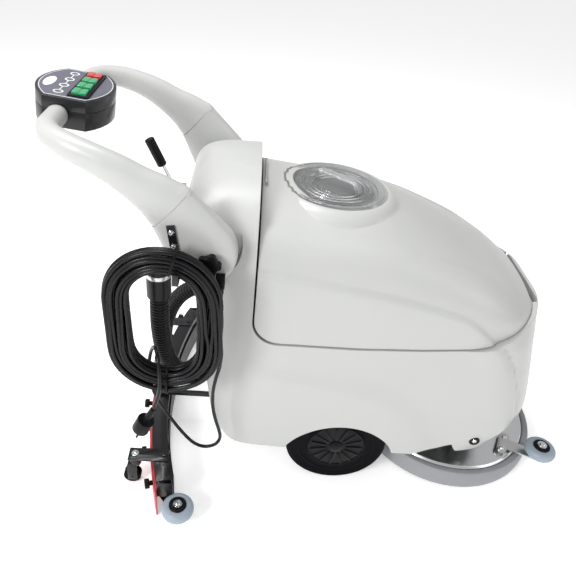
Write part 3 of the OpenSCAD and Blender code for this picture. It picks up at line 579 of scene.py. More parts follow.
def coil_points():
    slots = winding_slots()
    points = []
    for k, (r, y) in enumerate(slots):
        nr, ny = slots[min(k + 1, len(slots) - 1)]
        for j in range(POINTS_PER_TURN):
            share = j / POINTS_PER_TURN
            shift = ease((share - (1 - CROSSING)) / CROSSING)
            loose = 1.8 * math.sin(2.4 * k + 6.28 * share) + 1.2 * math.sin(5.1 * k + 12.6 * share)
            lean = 1.3 * math.sin(3.7 * k + 6.28 * share + 1)
            edge = ease(j / 4) if k == 0 else 1
            points.append(round_the_coil(r + (nr - r) * shift + loose * edge,
                                         y + (ny - y) * shift + lean * edge, share))
    for j, share in enumerate((0.0, 0.033, 0.066)):
        points.append(round_the_coil(115 + j * 2.5, -320.5 + j * 4, share))
    return points


def make_lead():
    line = lead_in[:-1] + coil_points() + lead_out
    data = bpy.data.curves.new("mains_lead", "CURVE")
    data.dimensions = "3D"
    data.bevel_depth = LEAD_D / 2 * MM
    data.bevel_resolution = 3
    data.resolution_u = 3
    data.use_fill_caps = True
    spline = data.splines.new("NURBS")
    spline.points.add(len(line) - 1)
    for point, p in zip(spline.points, line):
        point.co = (*at(*p), 1)
    spline.order_u = 3
    spline.use_endpoint_u = True
    data.materials.append(LEAD)
    lead = bpy.data.objects.new("mains_lead", data)
    bpy.context.scene.collection.objects.link(lead)
    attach(lead, "handle")
    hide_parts("cord_lead", "cord_coil")
    return lead


def make_strain_relief():
    """The ribbed rubber sleeve where the lead leaves its bracket."""
    profile = [[7.6, 3]]
    ribs = 6
    for k in range(ribs):
        z = 2 - k * 6
        r = 7.8 - k * 0.45
        profile += [[r, z], [r, z - 3.4], [r - 1.3, z - 3.8], [r - 1.3, z - 5.6]]
    profile += [[4.4, -34], [4.05, -35], [4.05, 3]]
    x, y, z = lead_in[0]
    bm = turned(profile, Matrix.Translation(at(x, y, z + 14)), steps=32, closed=True)
    sleeve = piece("lead_sleeve", bm, "handle", BLACK)
    return sleeve


lead = make_lead()
sleeve = make_strain_relief()
plug = from_node("mains_plug", "moulded_plug", "handle", BLACK, 2.0, 3)


def make_tie(name, share):
    """A flat tie round the whole bundle of turns."""
    r_mid, y_mid = 91.5, -308
    half_r, half_y = 28, 24
    run = round_the_coil(r_mid, y_mid, share)
    ahead = round_the_coil(r_mid, y_mid, share + 0.01)
    along = (Vector(ahead) - Vector(run)).normalized()
    across = Vector((0, 1, 0))
    out = along.cross(across).normalized()
    rings = []
    steps = 40
    for i in range(steps + 1):
        a = 2 * math.pi * i / steps
        c, s = math.cos(a), math.sin(a)
        p = (Vector(run) + out * half_r * math.copysign(abs(c) ** 0.6, c)
             + across * half_y * math.copysign(abs(s) ** 0.6, s))
        n = (out * c + across * s).normalized()
        rings.append([at(*(p + along * u + n * w))
                      for u, w in ((-2.4, -0.6), (2.4, -0.6), (2.4, 0.6), (-2.4, 0.6))])
    bm = bmesh.new()
    rows = [[bm.verts.new(q) for q in ring] for ring in rings[:-1]]
    for i, low in enumerate(rows):
        high = rows[(i + 1) % steps]
        for j in range(4):
            k = (j + 1) % 4
            bm.faces.new((low[j], low[k], high[k], high[j]))
    bmesh.ops.recalc_face_normals(bm, faces=bm.faces)
    tie = piece(name, bm, "handle", BLACK)


make_tie("coil_tie_top", 0.73)
make_tie("coil_tie_low", 0.2)

# --- body shell ------------------------------------------------------------------
HALF_W = 240
BODY_BASE = 124
BODY_TOP = 802
SEAM_Z = 465
WHEEL_R = 127
ARCH_X, ARCH_Z, ARCH_R = 5, 82, 142
BRUSH_X = 344
BEYOND = HALF_W + 40
SLOT_BACK, SLOT_FRONT, SLOT_HALF = 405, 431, 108
WALL = 6
SEAM_X = -237
SEAM_GAP = 4
FRONT_ROUND = 190
REAR_ROUND = 62
PIVOT_X, PIVOT_Z = -345, 700
COVER_IN = 210
COVER_OUT = 262
rear_edge = [[124, -298], [173, -318], [261, -331], [344, -340], [437, -345], [540, -352],
             [600, -370], [650, -390], [690, -398], [730, -395], [765, -378], [785, -355],
             [797, -328], [802, -300]]
front_edge = [[124, 470], [190, 494], [253, 500], [323, 487], [452, 457], [541, 437],
              [620, 420], [802, 400]]
side_edge = [[124, -14], [200, -2], [300, 0], [480, -2], [560, -4], [620, -9],
             [680, -18], [720, -32], [750, -52], [775, -85], [792, -130], [802, -180]]
# The swelling over each wheel lies between an outer and an inner line, given as [x, z]
fender_top = [[-330, 442], [-178, 405], [-76, 401], [28, 388], [119, 360], [186, 320],
              [229, 272], [255, 218], [278, 124], [300, -20]]
fender_foot = [[-330, 364], [-174, 355], [-92, 346], [16, 322], [94, 285], [138, 246],
               [175, 191], [204, 124], [240, -100]]
FENDER_SWELL = 9
# A soft corner runs down the front of each side
corner_line = [[124, 436], [236, 418], [332, 391], [418, 354], [478, 314], [560, 250]]
CORNER_OUT = 9
CORNER_STEP = 17


def swell(x, z):
    top, foot = straight(fender_top, x), straight(fender_foot, x)
    rise = ease((top - z) / max(top - foot, 1))
    start = ease((x + 300) / 160)
    corner = straight(corner_line, z)
    brow = CORNER_OUT * ease((x - corner + 90) / 90) - CORNER_STEP * ease((x - corner) / 34)
    return FENDER_SWELL * rise * start + brow * ease((530 - z) / 60)


def arc(cx, cy, r, start, count):
    return [(cx + r * math.cos(math.radians(start + 90 * k / count)),
             cy + r * math.sin(math.radians(start + 90 * k / count))) for k in range(count + 1)]


def body_ring(z, inset, fine):
    rear = curve(rear_edge, z) + inset
    front = curve(front_edge, z) - inset
    half = HALF_W + curve(side_edge, z) - inset
    rf, rr = min(FRONT_ROUND, half - 4), min(REAR_ROUND, half - 4)
    big, small, runs = (26, 12, 44) if fine else (9, 5, 1)
    near, far = rear + rr, front - rf
    side = [(far + (near - far) * k / runs, half) for k in range(1, runs)]
    other = [(near + (far - near) * k / runs, -half) for k in range(1, runs)]
    outline = (arc(far, half - rf, rf, 0, big) + side + arc(near, half - rr, rr, 90, small)
               + arc(near, rr - half, rr, 180, small) + other
               + arc(far, rf - half, rf, 270, big))
    ring = []
    for x, y in outline:
        if fine:
            y += math.copysign(swell(x, z) * ease((abs(y) - 120) / 80), y)
        ring.append(at(x, y, z - (inset if z > 790 else 0)))
    return ring


def body_form(inset, fine=False):
    if fine:
        levels = [BODY_BASE + (740 - BODY_BASE) * k / 84 for k in range(85)]
        levels += [740 + (BODY_TOP - 740) * math.sin(math.pi / 2 * k / 16) for k in range(1, 17)]
    else:
        levels = [124, 170, 253, 390, 500, 575, 625, 675, 725, 762, 788, 802]
    return loft([body_ring(z, inset, fine) for z in levels])


def above_seam(shift, inset=0):
    """Side view of the space over the seam, where the recovery tank sits."""
    bend = [(SEAM_X + 60 * (1 + math.cos(math.radians(180 + 7.5 * k))),
             SEAM_Z + 60 * (1 + math.sin(math.radians(180 + 7.5 * k)))) for k in range(13)]
    outline = [(SEAM_X, 1000)] + bend + [(0, SEAM_Z), (136, 472), (245, 482), (300, 491),
                                          (340, 506), (385, 526), (437, 537), (620, 542),
                                          (620, 1000)]
    half = HALF_W + 60 - inset
    return prism([(x + shift, z + shift) for x, z in outline], -half, half)


def arm_recess(side, grow):
    boss = [(PIVOT_X + (78 + grow) * math.cos(math.radians(a)),
             PIVOT_Z + (78 + grow) * math.sin(math.radians(a))) for a in range(-125, 36, 8)]
    outline = boss + [(PIVOT_X + 58 + grow, PIVOT_Z + 52), (PIVOT_X + 20 + grow, 900),
                      (PIVOT_X - 160, 900), (PIVOT_X - 160, 600 - grow),
                      (PIVOT_X - 44, PIVOT_Z - 70 - grow)]
    inner = COVER_IN - 4 - grow
    return prism(outline, side * inner, side * BEYOND)


def wheel_arch(side):
    outline = [(ARCH_X + ARCH_R * math.cos(math.radians(a)), ARCH_Z + ARCH_R * math.sin(math.radians(a)))
               for a in range(0, 360, 4)]
    return prism(outline, side * 170, side * BEYOND)


def make_body():
    body = piece("lower_shell", body_form(0, fine=True), None, None)
    room = piece("room", body_form(WALL + CORNER_STEP - CORNER_OUT), None, None)
    carve(room, [block((-500, -300, 0), (700, 300, BODY_BASE + WALL)), above_seam(-WALL),
                 arm_recess(1, WALL), arm_recess(-1, WALL)])
    inside = hollow(room)
    nose = prism([(165, 100), (200, 130), (247, 147), (285, 168), (293, 152), (303, 137),
                  (363, 137), (371, 171), (390, 195), (430, 226), (520, 262), (560, 100)],
                 -BEYOND, BEYOND)
    brush_room = rod(120, 60, Matrix.Translation(at(BRUSH_X, 0, BODY_BASE)), 64)
    carve(body, [above_seam(0), inside, wheel_arch(1), wheel_arch(-1), nose, brush_room,
                 block((SLOT_BACK, -SLOT_HALF, 450), (SLOT_FRONT, SLOT_HALF, 570)),
                 arm_recess(1, 0), arm_recess(-1, 0)])
    coat_all(body, SHELL)
    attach(body, "chassis")
    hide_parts("lower_body")


# --- recovery tank -----------------------------------------------------------------
crown = [[-237, 768], [-150, 757], [-60, 750], [0, 743], [60, 729], [130, 704], [200, 674],
         [280, 635], [340, 600], [400, 560], [440, 533]]
TANK_FOOT = 440
NOSE_X = 437
# Heights of the two long creases along the tank's sides
upper_crease = [[-240, 729], [-93, 708], [-8, 702], [75, 691], [150, 671], [217, 647],
                [276, 621], [322, 595], [357, 569], [440, 500]]
lower_crease = [[-240, 645], [-85, 624], [1, 611], [84, 596], [155, 578], [217, 560],
                [251, 540], [281, 513], [320, 470], [440, 300]]
CREASE_DEPTH = 7


def crease_recess(x, z):
    """How far the skin lies in, stepping in over each crease and coming back above it."""
    low, high = straight(lower_crease, x), straight(upper_crease, x)
    over_low, over_high = z - low, z - high
    span = max(high - low, 20)
    first = ease((over_low + 5) / 13) * (1 - 0.85 * ease((over_low - 8) / span))
    second = ease((over_high + 5) / 11) * (1 - ease((over_high - 6) / 36))
    fade = 1 - ease((x - 300) / 80)
    return CREASE_DEPTH * (first + second * (1 - ease((x - 250) / 110))) * fade


def tank_half(x):
    drop = 0
    if x > NOSE_X - FRONT_ROUND:
        reach = x - NOSE_X + FRONT_ROUND
        drop = math.sqrt(max(FRONT_ROUND**2 - reach**2, 1)) - FRONT_ROUND
    return HALF_W - 4 + drop


def tank_ring(x, inset, fine):
    half = tank_half(min(x + inset, NOSE_X - 1)) - inset
    top = curve(crown, x) - inset
    count = 46 if fine else 14
    last = math.asin(0.9**3)
    angles = [math.asin((0.9 * k / count) ** 3) for k in range(count)]
    angles += [last + (math.pi / 2 - last) * k / (count // 2) for k in range(count // 2 + 1)]
    angles += [math.pi - a for a in angles[-2::-1]]
    ring = []
    for a in angles:
        c = math.cos(a)
        y = math.copysign(half * abs(c) ** (2 / 2.2), c) if abs(c) > 1e-9 else 0
        ring.append([x, y, TANK_FOOT + (top - TANK_FOOT) * abs(math.sin(a)) ** (1 / 3)])
    if fine:
        moved = []
        for i, (px, y, z) in enumerate(ring):
            a, b = ring[max(i - 1, 0)], ring[min(i + 1, len(ring) - 1)]
            dy, dz = b[1] - a[1], b[2] - a[2]
            size = math.hypot(dy, dz) or 1
            sink = crease_recess(px, z)
            moved.append([px, y - sink * dz / size, z + sink * dy / size])
        ring = moved
    return [at(*p) for p in ring]


def tank_form(inset, fine=False):
    end = NOSE_X - 2 - inset
    if fine:
        stations = [-236 + 8 * k for k in range(76)]
        stations += [374 + (end - 374) * math.sin(math.pi / 2 * k / 22) for k in range(1, 23)]
    else:
        stations = [-237, -120, 0, 120, 240, 315, 370, 405, end]
    return loft([tank_ring(min(x, end), inset, fine) for x in stations])


LID_X, LID_Z, LID_TILT = -65, 746, 3
LID = (Matrix.Translation(at(LID_X, 0, LID_Z))
       @ Matrix.Rotation(math.radians(LID_TILT), 4, "Y"))
LID_R = 115.5
BORE_R = 100
GRIP_TURN = -35
GRIP_RINGS = 48
GRIP_AROUND = 20


def lift(z):
    return Matrix.Translation((0, 0, z * MM))


def make_tank():
    tank = piece("tank_shell", tank_form(0, fine=True), None, None)
    carve(tank, [above_seam(SEAM_GAP)], "INTERSECT")
    rim = turned([[0, -30], [154, -30], [148, -19], [140, -10], [132, -4], [125, -1], [121, 0],
                  [0, 0]], LID, steps=96)
    carve(tank, [rim], "UNION")
    room = piece("room", tank_form(WALL + 2 * CREASE_DEPTH), None, None)
    carve(room, [above_seam(SEAM_GAP + WALL)], "INTERSECT")
    carve(room, [block((395, -300, 300), (500, 300, 700))])
    inside = hollow(room)
    bore = rod(BORE_R, 120, LID, 96)
    seat = rod(LID_R + 2, 40, LID @ lift(12), 96)
    nose = block((SLOT_BACK, -SLOT_HALF - 1, 400), (SLOT_BACK + 100, SLOT_HALF + 1, 600))
    carve(tank, [inside, bore, seat, nose])
    coat_all(tank, SHELL)
    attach(tank, "tank")
    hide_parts("recovery_tank")


make_body()
make_tank()


# --- clear lid ---------------------------------------------------------------------
def make_lid():
    top = [[0, -1.5], [38, -1.5]]
    for r in (44, 56, 68, 80):
        top += [[r - 3, -1.5], [r - 1.5, 1.2], [r + 1.5, 1.2], [r + 3, -1.5]]
    top += [[88, -1.5], [92, 0], [104, 0], [106, 1.8], [110, 1.8], [112, 0], [114.5, -0.5],
            [LID_R, -2]]
    under = [[LID_R, -6.2], [98.5, -6.2], [98.5, -16], [94.5, -16], [94.5, -5], [0, -5]]
    disc = piece("lid_disc", turned(top + under, LID, steps=96), "lid", CLEAR, 50)
    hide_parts("tank_lid")
    route = [Vector(p) for p in ([-57, 0, -2], [-55, 0, 8], [-51, 0, 17], [-42, 0, 21.5],
                                 [-20, 0, 22], [0, 0, 22], [20, 0, 22], [42, 0, 21.5],
                                 [51, 0, 17], [55, 0, 8], [57, 0, -2])]
    path = smooth_route(route, GRIP_RINGS)
    rings = []
    twist = LID @ Matrix.Rotation(math.radians(GRIP_TURN), 4, "Z")
    for i, p in enumerate(path):
        ahead = (path[min(i + 1, GRIP_RINGS)] - path[max(i - 1, 0)]).normalized()
        side = Vector((0, 1, 0))
        up = ahead.cross(side)
        wide = 11 + 3 * abs(2 * i / GRIP_RINGS - 1)
        ring = []
        for j in range(GRIP_AROUND):
            c, s = round_corner(2 * math.pi * j / GRIP_AROUND, 0.5)
            ring.append(twist @ ((p + side * c * wide + up * s * 3) * MM))
        rings.append(ring)
    grip = piece("lid_handle", loft(rings), "lid", CLEAR, 50)


make_lid()


# --- handle ------------------------------------------------------------------------
arm_route = [[-409, 0, 793], [-433, 0, 812], [-467, -1, 834], [-502, -2, 856], [-540, -5, 874],
             [-584, -15, 889], [-622, -38, 897], [-641, -71, 900], [-645, -111, 900],
             [-645, -143, 900]]
arm_up = [53, 45, 36, 31, 27, 24, 22, 21, 20, 20]
arm_side = [25, 25, 24.5, 24, 23.5, 23, 22, 21, 20, 20]
PIVOT_Y = 236
ARM_RINGS = 110
ARM_ROOT = 14
ARM_SQUARE = 0.86
BOX_HALF_Y = 92
ARM_REACH = BOX_HALF_Y + 0.5 + 143 - PIVOT_Y


def make_arm(side, name, node):
    route = [Vector((x, PIVOT_Y + y + (ARM_REACH if k == 9 else 0), z))
             for k, (x, y, z) in enumerate(arm_route)]
    path = smooth_route(route, ARM_RINGS)
    ups = [curve(list(enumerate(arm_up)), 9 * i / ARM_RINGS) for i in range(ARM_RINGS + 1)]
    sides = [curve(list(enumerate(arm_side)), 9 * i / ARM_RINGS) for i in range(ARM_RINGS + 1)]
    path.insert(0, path[0] - (path[1] - path[0]).normalized() * ARM_ROOT)
    path = [Vector((p.x, p.y * side, p.z)) for p in path]
    bm = tube(path, [ups[0]] + ups, [sides[0]] + sides, Vector((0, 0, 1)), around=48,
              square=ARM_SQUARE)
    arm = piece(name, bm, "handle", SHELL)
    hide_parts(node)


make_arm(1, "left_arm_shell", "left_arm")
make_arm(-1, "right_arm_shell", "right_arm")
for side in ("left", "right"):
    from_node(side + "_clamp_knob", side + "_lobed_knob", side + "_knob", BLACK,
              2.2, 3)

COVER_R = 70
COVER_ROUND = 15
COVER_LIP = 1.2
COVER_AROUND = 56
COVER_SWEEP = 93.5
COVER_END = -52.5
BOSS_SQUARE = 0.44
cover_upper = [[-24, 129], [53, 46]]
cover_lower = [[-96, 48], [-58, -39]]


def make_cover(side, name, node):
    """The boss over the handle's pivot: the arm's own section at its collar, round at its end."""
    halfway = (COVER_OUT + COVER_IN) / 2
    thick = (COVER_OUT - COVER_IN) / 2
    sections = []
    for k in range(16):
        t = k / 15
        ends = [Vector((u[0][0] + (u[1][0] - u[0][0]) * t, u[0][1] + (u[1][1] - u[0][1]) * t))
                for u in (cover_upper, cover_lower)]
        sections.append((ends[0], ends[1], thick,
                         ARM_SQUARE - (ARM_SQUARE - BOSS_SQUARE) * ease(t)))
    for k in range(1, 25):
        left = COVER_SWEEP * (1 - k / 24.5)
        ends = [Vector((COVER_R * math.cos(math.radians(a)), COVER_R * math.sin(math.radians(a))))
                for a in (COVER_END + left, COVER_END - left)]
        short = max(0.0, 1 - COVER_R * (1 - math.cos(math.radians(left))) / COVER_ROUND)
        sections.append((ends[0], ends[1],
                         thick - COVER_ROUND * (1 - math.sqrt(1 - short * short)), BOSS_SQUARE))
    sections.insert(0, (*[e * 0.985 for e in sections[0][:2]], thick - COVER_LIP, ARM_SQUARE))
    rings = []
    for upper, lower, half, square in sections:
        middle, reach = (upper + lower) / 2, (upper - lower) / 2
        ring = []
        for j in range(COVER_AROUND):
            c, s = round_corner(2 * math.pi * j / COVER_AROUND, square)
            q = middle + reach * s
            ring.append(at(PIVOT_X + q.x, side * (halfway + half * c), PIVOT_Z + q.y))
        rings.append(ring)
    cover = piece(name, loft(rings), "handle", SHELL)
    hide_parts(node)


make_cover(1, "left_boss", "left_pivot_cover")
make_cover(-1, "right_boss", "right_pivot_cover")

# Control box, in the frame of its sloping panel
PANEL_X, PANEL_Z, PANEL_TILT = -629, 933, 6.7
BOX_HALF_X = 78
BOW = BOX_HALF_X - 42
BOW_R = (BOX_HALF_Y**2 + BOW**2) / (2 * BOW)
PANEL = (Matrix.Translation(at(PANEL_X, 0, PANEL_Z))
         @ Matrix.Rotation(math.radians(PANEL_TILT), 4, "Y"))


def panel_outline(inset, steps=28):
    r, half = BOW_R - inset, BOX_HALF_Y - inset
    fore = []
    for k in range(steps + 1):
        y = half * (2 * k / steps - 1)
        fore.append((BOX_HALF_X - BOW_R + math.sqrt(r * r - y * y), y))
    return fore + [(-x, y) for x, y in fore[::-1]]


def frame_strip(outer, inner, thick, place):
    """A flat band between two outlines that have the same number of points."""
    bm = bmesh.new()
    a = [bm.verts.new((x * MM, y * MM, 0)) for x, y in outer]
    b = [bm.verts.new((x * MM, y * MM, 0)) for x, y in inner]
    n = len(a)
    faces = [bm.faces.new((a[i], a[(i + 1) % n], b[(i + 1) % n], b[i])) for i in range(n)]
    thicken(bm, faces, (0, 0, thick * MM))
    bmesh.ops.transform(bm, matrix=place, verts=bm.verts)
    bmesh.ops.recalc_face_normals(bm, faces=bm.faces)
    return bm


def circle(x, y, rx, ry, steps=40):
    return [(x + rx * math.cos(2 * math.pi * k / steps), y + ry * math.sin(2 * math.pi * k / steps))
            for k in range(steps)]


LABEL_TOP = 0.85
PRINT_T = 0.35
RING_X, RING_Y = -20, (-60, -20, 20, 60)
RING_OUT, RING_IN = 10, 7
for name, node, used, slot, width in (
        ("box_foot", "box_base", SATIN_BLACK, "black_plastic", 2.5),
        ("box_hood", "box_top", SATIN_BLACK, "black_plastic", 1.6),
        ("panel_label", "control_label", LABEL, "label", 0.25),
        ("rocker_bezel", "switch_bezel", BLACK, "black_plastic", 0.8)):
    from_node(node, name, "handle", used, width, 3)
label_face = PANEL @ lift(LABEL_TOP)
border = piece("label_border", frame_strip(panel_outline(6.5), panel_outline(8), PRINT_T, label_face),
               "handle", PRINT)
for k, y in enumerate(RING_Y):
    ring = frame_strip(circle(RING_X, y, RING_OUT, RING_OUT), circle(RING_X, y, RING_IN, RING_IN),
                       PRINT_T, label_face)
    piece("label_ring_%d" % (k + 1), ring, "handle", PRINT)
for k in range(3):
    a, b = RING_Y[k] + RING_OUT, RING_Y[k + 1] - RING_OUT
    line = plate([(RING_X - 1, a), (RING_X + 1, a), (RING_X + 1, b), (RING_X - 1, b)],
                 PRINT_T, label_face)
    piece("label_line_%d" % (k + 1), line, "handle", PRINT)
blank = plate(circle(-52, -9, 11, 30), PRINT_T, label_face)
piece("label_blank", blank, "handle", PRINT)

for name, used, slot in (("vacuum", GREEN, "rocker_green"), ("water", GREEN, "rocker_green"),
                         ("brush", GREEN, "rocker_green"), ("power", RED, "rocker_red")):
    from_node(name + "_switch", name + "_key", name + "_rocker", used, 1.0, 3)

from_node("cable_hook", "cable_hook_trim", "handle", SATIN_BLACK, 0.8)
from_node("cable_gland", "cable_gland_trim", "handle", BLACK, 1.2)


# --- wheels, deck and rollers --------------------------------------------------------
TYRE_Y = 203
HUB_Y = 226


def make_tyre(side, name, body):
    """A solid tyre with two grooves round its tread and a bead on its wall."""
    profile = [[72.8, -22.5], [74, -23], [81, -19], [92, -19], [94, -20.4], [97, -20.4],
               [99, -19.2], [112, -21.5], [117, -23], [122.5, -21], [126, -17], [127, -13.5],
               [127, -9], [123.5, -8], [123.5, -5], [127, -4], [127, 4], [123.5, 5],
               [123.5, 8], [127, 9], [127, 13.5], [126, 17], [122.5, 21], [117, 23],
               [93, 19], [81, 19], [73, 15], [10.1, 15], [10.1, -22.5]]
    centre = at(0, side * TYRE_Y, WHEEL_R)
    place = Matrix.Translation(centre) @ Matrix.Rotation(math.radians(90 * side), 4, "X")
    tyre = piece(name, turned(profile, place, steps=120, closed=True), body, TYRE, 28)
    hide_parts(name.replace("solid_", ""))


for side, name in ((1, "left"), (-1, "right")):
    make_tyre(side, name + "_solid_tyre", name + "_wheel")
    from_node(name + "_hub_cover", name + "_hub_disc", name + "_wheel", BLACK, 0.9)
    centre = Matrix.Translation(at(0, side * HUB_Y, WHEEL_R)) @ Matrix.Rotation(
        math.radians(-90 * side), 4, "X")
    rim = turned([[69, 0.9], [69.6, 2.6], [71, 2.9], [72, 2], [72, 0.9]], centre, steps=96,
                 closed=True)
    piece(name + "_hub_rim", rim, name + "_wheel", BLACK)
    cap = turned([[0, 8.2], [6, 8], [11, 7], [13.5, 5.2], [14, 4.9], [0, 4.9]], centre, steps=48)
    piece(name + "_hub_cap", cap, name + "_wheel", BLACK)

for node, body, used, slot, width in (
        ("deck_cover", "chassis", ALUMINIUM, "deck_aluminium", 0.8),
        ("bumper_ring", "chassis", BUMPER, "bumper_grey", 1.2),
        ("roller_brackets", "chassis", STEEL, "steel", 0.8),
        ("left_front_roller", "left_front_roller", ROLLER, "roller_grey", 0.6),
        ("right_front_roller", "right_front_roller", ROLLER, "roller_grey", 0.6),
        ("left_squeegee_roller", "left_squeegee_roller", ROLLER, "roller_grey", 0.6),
        ("right_squeegee_roller", "right_squeegee_roller", ROLLER, "roller_grey", 0.6),
        ("squeegee_bar", "squeegee", SATIN_BLACK, "black_paint", 0.6),
        ("front_blade", "squeegee", HOSE, "blade_natural", 0.5),
        ("rear_blade", "squeegee", RED_BLADE, "blade_red", 0.5),
        ("blade_knobs", "squeegee", BLACK, "black_plastic", 1.5),
        ("left_caster_fork", "left_caster", SATIN_BLACK, "black_paint", 0.5),
        ("right_caster_fork", "right_caster", SATIN_BLACK, "black_paint", 0.5),
        ("left_caster_wheel", "left_caster_wheel", TYRE, "wheel_rubber", 2.0),
        ("right_caster_wheel", "right_caster_wheel", TYRE, "wheel_rubber", 2.0),
        ("lift_arm", "lift", SATIN_BLACK, "black_paint", 0.8),
        ("lift_lever", "lever", CHROME, "chrome", 0.6),
        ("lever_grip", "lever", BLACK, "black_plastic", 3.0),
        ("lever_bracket", "chassis", CHROME, "chrome", 0.6),
        ("lid_gasket", "tank", GASKET, "black_plastic", 0.3)):
    from_node(node, node + "_finished", body, used, width)

hidden = {"base_frame": FRAME_PAINT, "drive_axle": STEEL, "vacuum_motor": MOTOR,
          "brush_motor": MOTOR, "brush_disc": BLACK, "float_cage": FLOAT, "float_ball": FLOAT,
          "control_board": BOARD}
for node, used in hidden.items():
    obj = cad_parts[node]
    obj.data.materials.clear()
    obj.data.materials.append(used)


# --- hoses -------------------------------------------------------------------------
HOSE_R = 21
RIB_PITCH = 7.5
RIB_DEPTH = 2.6
CUFF_R = HOSE_R + 5
HOSE_RINGS = 420
vacuum_route = [[-349, 0, 440], [-385, 0, 434], [-420, 0, 408], [-447, 0, 362], [-463, 0, 300],
                [-469, 0, 230], [-470, 0, 190], [-470, 0, 147]]
drain_route = [[-437, -215, 641], [-437, -215, 560], [-437, -215, 480], [-431, -209, 410],
               [-416, -197, 350], [-392, -178, 308], [-370, -160, 290], [-352, -146, 286]]


def make_hose(name, route, cuff):
    """A ribbed hose. cuff gives the share of its length that is a smooth collar."""
    path = smooth_route([Vector(p) for p in route], HOSE_RINGS)
    length = 0.0
    radii = []
    for i, p in enumerate(path):
        if i:
            length += (p - path[i - 1]).length
        u = i / HOSE_RINGS
        ribbed = HOSE_R - RIB_DEPTH * (0.5 - 0.5 * math.cos(2 * math.pi * length / RIB_PITCH)) ** 2
        radii.append(CUFF_R if cuff[0] <= u <= cuff[1] else ribbed)
    bm = tube(path, radii, radii, Vector((0, 1, 0)), around=28)
    return piece(name, bm, None, HOSE, 60)


vacuum = make_hose("ribbed_vacuum_hose", vacuum_route, (0.87, 1.0))
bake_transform(vacuum)
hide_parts("vacuum_hose")
drain = make_hose("ribbed_drain_hose", drain_route, (0.0, 0.13))
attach(drain, "chassis")
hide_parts("drain_hose")


# --- brush -------------------------------------------------------------------------
TUFT_FOOT, TUFT_TIP, TUFT_H, TUFT_Z = 6.5, 4, 33.4, 17.2


def make_bristles():
    """Rings of tapered nylon tufts under the brush disc."""
    bm = bmesh.new()
    for radius, count in ((82, 26), (108, 34), (134, 42), (160, 50), (186, 58), (206, 64)):
        for k in range(count):
            a = 2 * math.pi * k / count
            x, y = BRUSH_X + radius * math.cos(a), radius * math.sin(a)
            place = Matrix.Translation(at(x, y, TUFT_Z))
            bmesh.ops.create_cone(bm, cap_ends=True, segments=7,
                                  radius1=TUFT_FOOT * MM, radius2=TUFT_TIP * MM,
                                  depth=TUFT_H * MM, matrix=place)
    made = piece("brush_tufts", bm, "brush", BRISTLE, 50)
    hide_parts("brush_bristles")


make_bristles()


# --- bolts and small trim -----------------------------------------------------------
def bolt(name, place, r, body):
    """A round-headed bolt with a washer and a hexagonal socket."""
    head = [[0, 5], [r * 0.45, 5], [r * 0.8, 4.2], [r, 2.6], [r, 1.2], [r * 1.5, 1.2],
            [r * 1.5, 0], [0, 0]]
    bm = turned(head, place, steps=32)
    obj = piece(name, bm, body, CHROME)
    carve_socket(obj, place, r)


def carve_socket(obj, place, r):
    bm = bmesh.new()
    bmesh.ops.create_cone(bm, cap_ends=True, segments=6, radius1=r * 0.42 * MM,
                          radius2=r * 0.42 * MM, depth=5 * MM, matrix=place @ lift(5.5))
    used = obj.data.materials[0]
    carve(obj, [bm])
    obj.data.materials.clear()
    obj.data.materials.append(used)
    smooth_again(obj)


def facing(side):
    return Matrix.Rotation(math.radians(-90 * side), 4, "X")


def place_on(x, y, z, turn_matrix=Matrix.Identity(4)):
    return Matrix.Translation(at(x, y, z)) @ turn_matrix


for side, word in ((1, "left"), (-1, "right")):
    tab = place_on(337, side * 233.5, 187, facing(side))
    ring = turned([[8, 0], [13, 0], [13, 3], [11.5, 4.2], [8, 4.2]],
                  tab, steps=40, closed=True)
    piece(word + "_tab_grommet", ring, "chassis", BLACK)
    bolt(word + "_tab_screw", tab, 6, "chassis")
    bolt(word + "_front_roller_bolt", place_on(555, side * 178, 121), 7, "chassis")
    bolt(word + "_end_roller_bolt", place_on(-384, side * 373, 69), 7, "squeegee")
    bolt(word + "_caster_bolt", place_on(-504, side * 262, 102), 6, "squeegee")


for side, word in ((1, "left"), (-1, "right")):
    for where, x, y, z, rider in (("front", 555, 178, 115, "_front_roller"),
                                  ("end", -384, 373, 64, "_squeegee_roller")):
        hub = turned([[12.4, -0.6], [21, -0.6], [21, 1.6], [19.5, 3], [14, 3.4], [12.4, 2.4]],
                     place_on(x, side * y, z), steps=48, closed=True)
        piece(word + "_" + where + "_roller_hub", hub, word + rider, BLACK)
    for k, off in enumerate((-22, 22)):
        a = math.radians(62 if side < 0 else -62)
        bolt(word + "_plate_screw_%d" % (k + 1),
             place_on(472 + off * math.cos(a), side * 146 + off * math.sin(a), 83.6), 6,
             "chassis")
    cap = block((-438, 0, 47), (-400, 1, 96.5))
    bmesh.ops.translate(cap, verts=cap.verts, vec=(0, (330 if side > 0 else -331) * MM, 0))
    bmesh.ops.scale(cap, vec=(1, 5, 1), verts=cap.verts, space=Matrix.Translation(
        at(-419, side * 328, 0)).inverted())
    softened(cap, 1.5, 3)
    piece(word + "_bar_end", cap, "squeegee", SATIN_BLACK)

HOOK_X, HOOK_FACE, HOOK_Z, HOOK_LEAN = -391, -265.7, 682, 8
for k, z in enumerate((694, 722, 752)):
    lean = (z - HOOK_Z) * math.tan(math.radians(HOOK_LEAN))
    bolt("hook_bolt_%d" % (k + 1), place_on(HOOK_X - lean, HOOK_FACE, z, facing(-1)), 4, "handle")

hinge_rod = turned([[0, -61], [2, -61], [3, -60], [3, 60], [2, 61], [0, 61]],
                   place_on(SEAM_X + 11, 0, 772, facing(1)), steps=24)
hinge_rod = piece("tank_hinge_rod", hinge_rod, "chassis", STEEL)
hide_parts("tank_hinge_pin")
